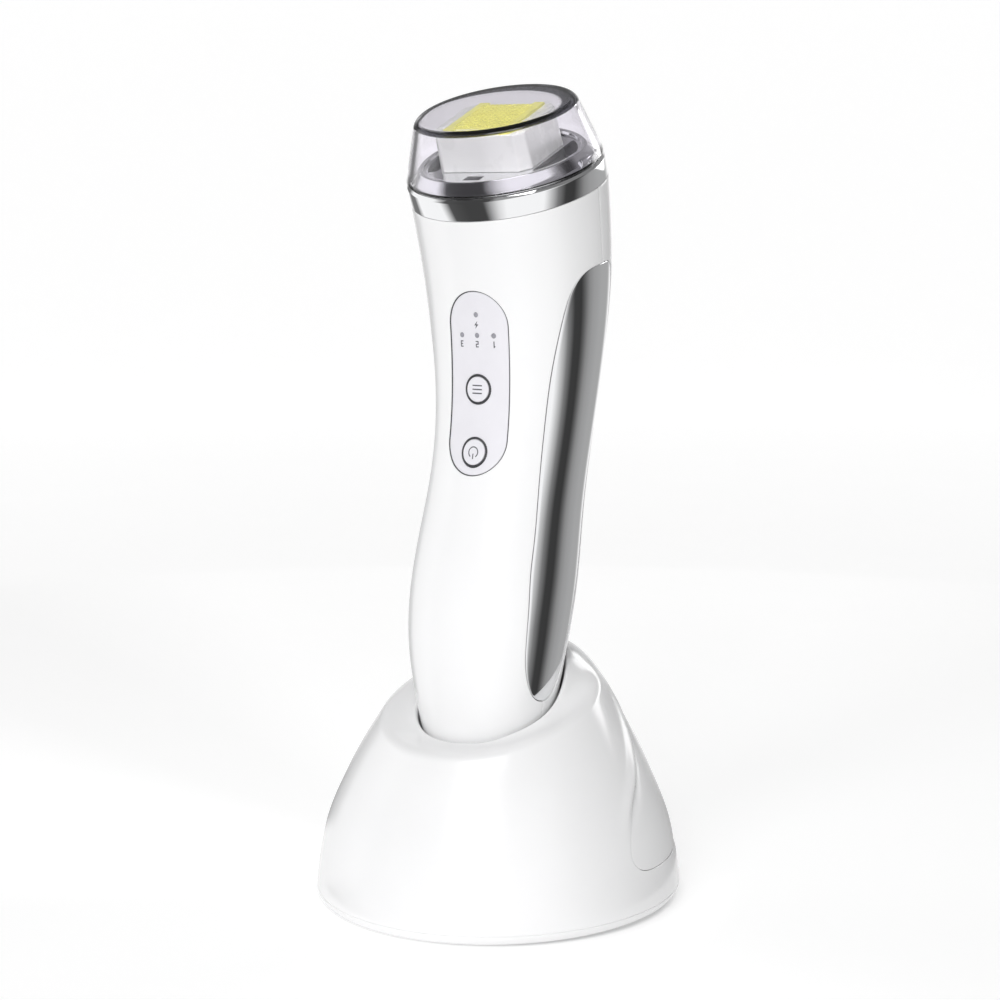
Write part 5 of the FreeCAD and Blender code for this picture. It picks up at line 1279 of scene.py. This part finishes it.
# rows of points beside the hole carry its rolled-in edge
ROLL = 1.6
step_out = (0.25, 0.5, 0.8, 1.1, 1.45, 1.85, 2.3, 2.8, 3.4, 4.1, 4.9)
beside = []
for g in step_out:
    q = rear_loop(0.07 + EDGE_R + g, 0.0, 0.9)
    beside.append(np.stack([q[:, 0], share(q)], 1) * chart)
beside = np.concatenate(beside)
beside = beside[inside(flat[ring], beside)]
inner = inner[near([beside], flat[inner]) > 0.55]
pts, tri = flat_mesh(flat[ring], [hole2], np.concatenate([flat[inner], beside]))
rim_pts = np.concatenate([hole2, beside])
hp = base_point(rim_pts[:, 0] / 40.0, rim_pts[:, 1] / 55.0)
hn = num_normal(base_point, rim_pts[:, 0] / 40.0, rim_pts[:, 1] / 55.0)
away = near([hp[:len(hole2)]], hp)
fall = np.clip(1 - away / ROLL, 0, 1) ** 2
turn = rim_pts[:, 0] / 40.0
hp = hp + hn * (lip_shape(away) * lip_up(hp[:, 2]) * flank(turn) - fall * edge_roll(turn, hp[:, 2]))[:, None]
base_n = len(P)
ids = np.concatenate([ring, base_n + np.arange(len(hole2)), inner, base_n + len(hole2) + np.arange(len(beside))])
P, N = np.concatenate([P, hp]), np.concatenate([N, hn])
inwin = set(i * NB + j for i in range(i0, i1) for j in range(j0, j1))
faces = [f for k, f in enumerate(faces) if k not in inwin]
tt = ids[tri]
flip = (np.cross(P[tt[:, 1]] - P[tt[:, 0]], P[tt[:, 2]] - P[tt[:, 0]]) * N[tt[:, 0]]).sum(1) < 0
tt[flip] = tt[flip][:, ::-1]
faces += [tuple(x) for x in tt]

# floor of the well with holes for the two spring pins
edge_ids = np.arange((nr - 1) * NB, nr * NB)
e2 = P[edge_ids][:, :2]
holes = [circle(sx * 6.0, -5.675, 1.05 + 0.15, 28) for sx in (-1, 1)]
pts, tri = flat_mesh(e2, holes, lattice(e2, holes, 1.3))
new = pts[NB:]
base_n = len(P)
P = np.concatenate([P, np.stack([new[:, 0], new[:, 1], np.full(len(new), 32.85)], 1)])
N = np.concatenate([N, np.tile([0, 0, 1.0], (len(new), 1))])
ids = np.concatenate([edge_ids, base_n + np.arange(len(new))])
tt = ids[tri]
flip = np.cross(P[tt[:, 1]] - P[tt[:, 0]], P[tt[:, 2]] - P[tt[:, 0]])[:, 2] < 0
tt[flip] = tt[flip][:, ::-1]
faces += [tuple(x) for x in tt]
P, N, faces = drop_unused(P, N, faces)
V, F = thick(P, N, faces, 1.2, EDGE_R)
make("base_casing", V, F, "base", M["white_base"], ["base_shell"])

# rear cover with the socket opening
loop = rear_loop(-0.02 - EDGE_R, cover_depth)
outer = loop * np.array([40.0, 1.0])
sock = stadium(3.26 + 0.4 + 2 * 0.15, 9.0 + 0.4 + 2 * 0.15, 0.0, 20, 10)
sz = sock[:, 0] + 23.63
sth = np.arccos(np.clip(sock[:, 1] / (dome_a(sz) - 1.0), -1, 1))
sock2 = ccw(np.stack([sth * 40.0, sz], 1))
outer = ccw(outer)
near_edge = []
for g in (0.3, 0.65, 1.05, 1.5, 2.0, 2.6, 3.3):
    q = rear_loop(-0.02 - EDGE_R - g, cover_depth, 0.9) * np.array([40.0, 1.0])
    near_edge.append(q)
near_edge = np.concatenate(near_edge)
near_edge = near_edge[inside(outer, near_edge) & ~inside(sock2, near_edge) & (near([sock2], near_edge) > 0.6)]
field = lattice(outer, [sock2], 1.3)
field = field[near([near_edge], field) > 0.6]
pts, tri = flat_mesh(outer, [sock2], np.concatenate([near_edge, field]))
th, z = pts[:, 0] / 40.0, pts[:, 1]
dip = np.exp(-(near([outer], pts) / 2.1) ** 2)
face = 1.0 - 0.88 * flank(th)
P = dome(z, th, face + (cover_depth(th, z) - face) * dip)
N = unit(np.cross(dome(z, th + 1e-3, 1.0) - dome(z, th - 1e-3, 1.0), dome(z + 0.02, th, 1.0) - dome(z - 0.02, th, 1.0)))
flip = (np.cross(P[tri[:, 1]] - P[tri[:, 0]], P[tri[:, 2]] - P[tri[:, 0]]) * N[tri[:, 0]]).sum(1) < 0
tri[flip] = tri[flip][:, ::-1]
V, F = thick(P, N, tri, 1.3, EDGE_R)
make("rear_cover", V, F, "base", M["white_base"], ["base_rear_cover"])

# floor plate of the base
fl_rows = []
for z in (3.0 - EDGE_R - 0.05, 2.5, 2.1, 1.7, 1.3):
    fl_rows.append(dome(np.full(NB, z), tb, 0.0))
for k in range(1, 8):
    e = PI / 2 * k / 7
    fl_rows.append(dome(np.full(NB, 1.3 - 0.8 * math.sin(e)), tb, 0.9 * (1 - math.cos(e))))
G = np.array(fl_rows)
d1 = np.roll(G, -1, 1) - np.roll(G, 1, 1)
d2 = np.gradient(G, axis=0)
NN = unit(np.cross(d2, d1))
P, N = G.reshape(-1, 3), NN.reshape(-1, 3)
faces = grid_faces(len(G), NB, wrap=True, flip=True)
edge_ids = np.arange((len(G) - 1) * NB, len(G) * NB)
e2 = P[edge_ids][:, :2]
holes = [circle(x, y, 4.6 + 0.2, 48) for x, y in ((34, 0), (-34, 0), (0, 34), (0, -34))]
holes += [circle(sx * 24.2, sy * 24.2, 2.95 + 0.2, 36) for sx in (-1, 1) for sy in (-1, 1)]
pts, tri = flat_mesh(e2, holes, lattice(e2, holes, 2.4))
new = pts[NB:]
base_n = len(P)
P = np.concatenate([P, np.stack([new[:, 0], new[:, 1], np.full(len(new), 0.5)], 1)])
N = np.concatenate([N, np.tile([0, 0, -1.0], (len(new), 1))])
ids = np.concatenate([edge_ids, base_n + np.arange(len(new))])
tt = ids[tri]
flip = np.cross(P[tt[:, 1]] - P[tt[:, 0]], P[tt[:, 2]] - P[tt[:, 0]])[:, 2] > 0
tt[flip] = tt[flip][:, ::-1]
faces += [tuple(x) for x in tt]
V, F = thick(P, N, faces, 1.4, 0.2)
make("base_floor_plate", V, F, "base", M["white_base"], ["base_floor"])

# springs under the contact pins, as tall as the carried-over springs; the real springs close up as the pins go down
for side, sx in (("left", -1), ("right", 1)):
    lo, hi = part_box("contact_spring_" + side)
    z0, z1 = lo[2] / MM + 0.15, hi[2] / MM - 0.15
    t = np.linspace(0, 1, 181)
    ph = 2 * PI * 5 * t
    mid = np.stack([sx * 6.0 + 1.05 * np.cos(ph), -5.675 + 1.05 * np.sin(ph), z0 + (z1 - z0) * t], 1)
    out = np.stack([np.cos(ph), np.sin(ph), 0 * ph], 1)
    up = np.cross(unit(np.gradient(mid, axis=0)), out)
    a = 2 * PI * np.arange(12) / 12
    V, F = loops_solid([mid[k] + 0.15 * (np.cos(a)[:, None] * out[k] + np.sin(a)[:, None] * up[k]) for k in range(len(t))])
    coil = make("pin_spring_" + side, V, F, "base", M["gold_contact"], ["contact_spring_" + side])
    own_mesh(coil)

# ------------------------------------------------------------------ finishes of the carried-over pieces
FINISH = {
    "circuit_board": ["main_board", "head_board", "charge_board"],
    "chip_body": ["board_chips", "switch_bodies", "socket_tongue"],
    "led_body": ["indicator_leds"],
    "screw_steel": ["board_screws", "shell_screws", "base_screws", "charge_board_screws", "usb_socket"],
    "inner_plastic": ["coil_former", "battery_holder", "contact_block", "pin_housing", "mode_plunger", "power_plunger"],
    "copper_wire": ["coil_winding", "head_leads"],
    "cell_wrap": ["battery_cell"],
    "gold_contact": ["charge_contacts", "contact_pin_left", "contact_pin_right"],
    "head_white": ["head_block"],
    "plate_gold": ["electrode_plate"],
    "foot_rubber": ["rubber_feet"],
}
for key, names in FINISH.items():
    for nm in names:
        o = nodes[nm]
        o.data.materials.clear()
        o.data.materials.append(M[key])


def soften(node, width, seg=3, angle=35):
    """Small rounded edges on a carried-over piece."""
    o = nodes[node]
    w = o.modifiers.new("weld", "WELD")
    w.merge_threshold = 1e-6
    b = o.modifiers.new("edge", "BEVEL")
    b.width = width * MM
    b.segments = seg
    b.limit_method = "ANGLE"
    b.angle_limit = math.radians(angle)
    b.harden_normals = False


soften("head_block", 0.45)
soften("rubber_feet", 0.35)

# ------------------------------------------------------------------ stage, camera, light
ring_n = 96
t = 2 * PI * np.arange(ring_n) / ring_n
prof = [(0.001, 0.0), (0.0435, 0.0), (0.0452, 0.0), (0.048, 0.0), (0.053, 0.0), (0.3, 0.0), (0.8, 0.0), (1.3, 0.0)]
prof += [(1.3 + 0.9 * math.sin(a), 0.9 - 0.9 * math.cos(a)) for a in np.linspace(0, PI / 2, 14)[1:]]
prof += [(2.2, 1.6), (2.2, 2.4)]
loops = [np.stack([r * np.cos(t), r * np.sin(t), np.full(ring_n, z)], 1) for r, z in prof]
verts = np.concatenate(loops)
me = bpy.data.meshes.new("studio_floor")
me.from_pydata([tuple(v) for v in verts], [], grid_faces(len(prof), ring_n, wrap=True))
me.polygons.foreach_set("use_smooth", [True] * len(me.polygons))
floor = bpy.data.objects.new("studio_floor", me)
scene.collection.objects.link(floor)
paper = finish_mat("studio_paper", (0.45, 0.45, 0.45), 0.8, vary=0.004, vscale=3, rvary=0.04, rscale=20)
# the backdrop glows softly; on the floor near the object the glow drops, a painted contact shadow round the base
floor_glow_and_painted_shadow = np.interp([r for r, z in prof], [0.0, 0.0435, 0.0452, 0.048, 0.053, 0.3, 0.8, 1.3], [0.22, 0.3, 0.54, 0.635, 0.645, 0.645, 0.69, 0.72])
far = np.interp([r for r, z in prof], [0.6, 1.3], [0.0, 1.0])
dim = np.interp(np.degrees(t), [0, 60, 95, 150, 175, 230, 260, 310, 345, 360], [0.15, 0.15, 1.0, 1.0, 0.35, 0.35, 0.85, 0.85, 0.3, 0.15])
col = me.color_attributes.new("floor_glow_and_painted_shadow", "FLOAT_COLOR", "POINT")
high = np.interp([z for r, z in prof], [0.0, 0.9, 1.6, 2.4], [1.0, 1.0, 0.45, 0.1])
g3 = (floor_glow_and_painted_shadow[:, None] * (1 - far[:, None] * (1 - dim[None])) * high[:, None]).ravel()
col.data.foreach_set("color", np.stack([g3, g3, g3, np.ones_like(g3)], 1).ravel())
at = paper.node_tree.nodes.new("ShaderNodeAttribute")
at.attribute_name = "floor_glow_and_painted_shadow"
pb = paper.node_tree.nodes["Principled BSDF"]
paper.node_tree.links.new(at.outputs["Color"], pb.inputs["Emission Color"])
pb.inputs["Emission Strength"].default_value = 1.0
me.materials.append(paper)


def polar(az, dist, z):
    a = math.radians(az)
    return (dist * math.cos(a), dist * math.sin(a), z)


def reflection_wall(name, tones, r0, r1, height, panel):
    """Ring of soft light and dark panels that the gloss mirrors: an annulus on the floor and a wall round it.
    tones = (azimuth in degrees, brightness) round the circle; panel = extra brightness by azimuth between two heights of the wall."""
    n = 240
    az = 360.0 * np.arange(n) / n - 180.0
    ta = np.array([q[0] for q in tones], float)
    tv = np.array([q[1] for q in tones], float)
    val = np.interp(az, np.concatenate([[ta[-1] - 360], ta, [ta[0] + 360]]), np.concatenate([[tv[-1]], tv, [tv[0]]]))
    c, s_ = np.cos(np.radians(az)), np.sin(np.radians(az))
    prof = [(r0, 0.0012), (r1, 0.0012), (r1, 0.205), (r1, 0.225), (r1, 0.31), (r1, 0.35), (r1, 0.40), (r1, 0.44), (r1, height)]
    verts = np.concatenate([np.stack([r * c, r * s_, np.full(n, z)], 1) for r, z in prof])
    me = bpy.data.meshes.new(name)
    me.from_pydata([tuple(v) for v in verts], [], grid_faces(len(prof), n, wrap=True))
    col = me.color_attributes.new("tone", "FLOAT_COLOR", "POINT")
    v3 = np.tile(val, (len(prof), 1))
    v3[3:5] += np.interp(az, [q[0] for q in panel], [q[1] for q in panel])
    v3[7:] = np.minimum(v3[7:], 0.3)
    v3 = v3.ravel()
    rgba = np.stack([v3, v3, v3, np.ones_like(v3)], 1)
    col.data.foreach_set("color", rgba.ravel())
    ob = bpy.data.objects.new(name, me)
    scene.collection.objects.link(ob)
    m = bpy.data.materials.new(name + "_panel")
    m.use_nodes = True
    nt = m.node_tree
    nt.nodes.remove(nt.nodes["Principled BSDF"])
    em = nt.nodes.new("ShaderNodeEmission")
    at = nt.nodes.new("ShaderNodeAttribute")
    at.attribute_name = "tone"
    nt.links.new(at.outputs["Color"], em.inputs["Color"])
    nt.links.new(em.outputs["Emission"], nt.nodes["Material Output"].inputs["Surface"])
    me.materials.append(m)
    ob.visible_camera = False
    ob.visible_shadow = False
    ob.visible_diffuse = False
    return ob


TONES = [(-180, 1.05), (-154, 1.05), (-141, 0.09), (-120, 0.06), (-98, 0.06), (-80, 0.8), (-70, 1.05), (-24, 1.05), (-15, 0.6),
         (-6, 0.22), (4, 0.05), (16, 0.045), (23, 0.13), (32, 0.28), (42, 0.36), (62, 0.42), (86, 0.42), (102, 1.0), (138, 1.0), (150, 0.2), (162, 0.2), (171, 1.05)]
reflection_wall("reflection_ring", TONES, 0.06, 0.5, 0.6, [(50, 0.0), (58, 5.0), (82, 5.0), (90, 0.0)])

world = bpy.data.worlds.new("studio_world")
scene.world = world
world.use_nodes = True
bg = world.node_tree.nodes["Background"]
bg.inputs["Color"].default_value = (1.0, 1.0, 1.0, 1)
bg.inputs["Strength"].default_value = 0.22


def area(name, loc, look, size, power, size_y=None):
    l = bpy.data.lights.new(name, "AREA")
    l.energy = power
    l.size = size
    if size_y:
        l.shape = "RECTANGLE"
        l.size_y = size_y
    ob = bpy.data.objects.new(name, l)
    scene.collection.objects.link(ob)
    ob.location = loc
    ob.rotation_mode = "QUATERNION"
    ob.rotation_quaternion = (Vector(look) - Vector(loc)).to_track_quat("-Z", "Y")
    return ob


area("key_front", polar(-78, 1.3, 1.25), (0, 0, 0.1), 1.0, 13.5)
low = area("low_front", polar(-72, 1.0, 0.6), (0, 0, 0.0), 0.3, 0.042)
low.data.spread = math.radians(16)
low.visible_glossy = False

cam = bpy.data.cameras.new("camera")
cam.lens = 78.94
cam.sensor_width = 36.0
cam.sensor_fit = "HORIZONTAL"
cam_ob = bpy.data.objects.new("camera", cam)
scene.collection.objects.link(cam_ob)
cam_ob.location = (0.289126, -0.457106, 0.173252)
cam_ob.rotation_mode = "QUATERNION"
cam_ob.rotation_quaternion = (Vector((0.000358, -0.000149, 0.09974)) - cam_ob.location).to_track_quat("-Z", "Y")
scene.camera = cam_ob
scene.view_settings.view_transform = "Standard"
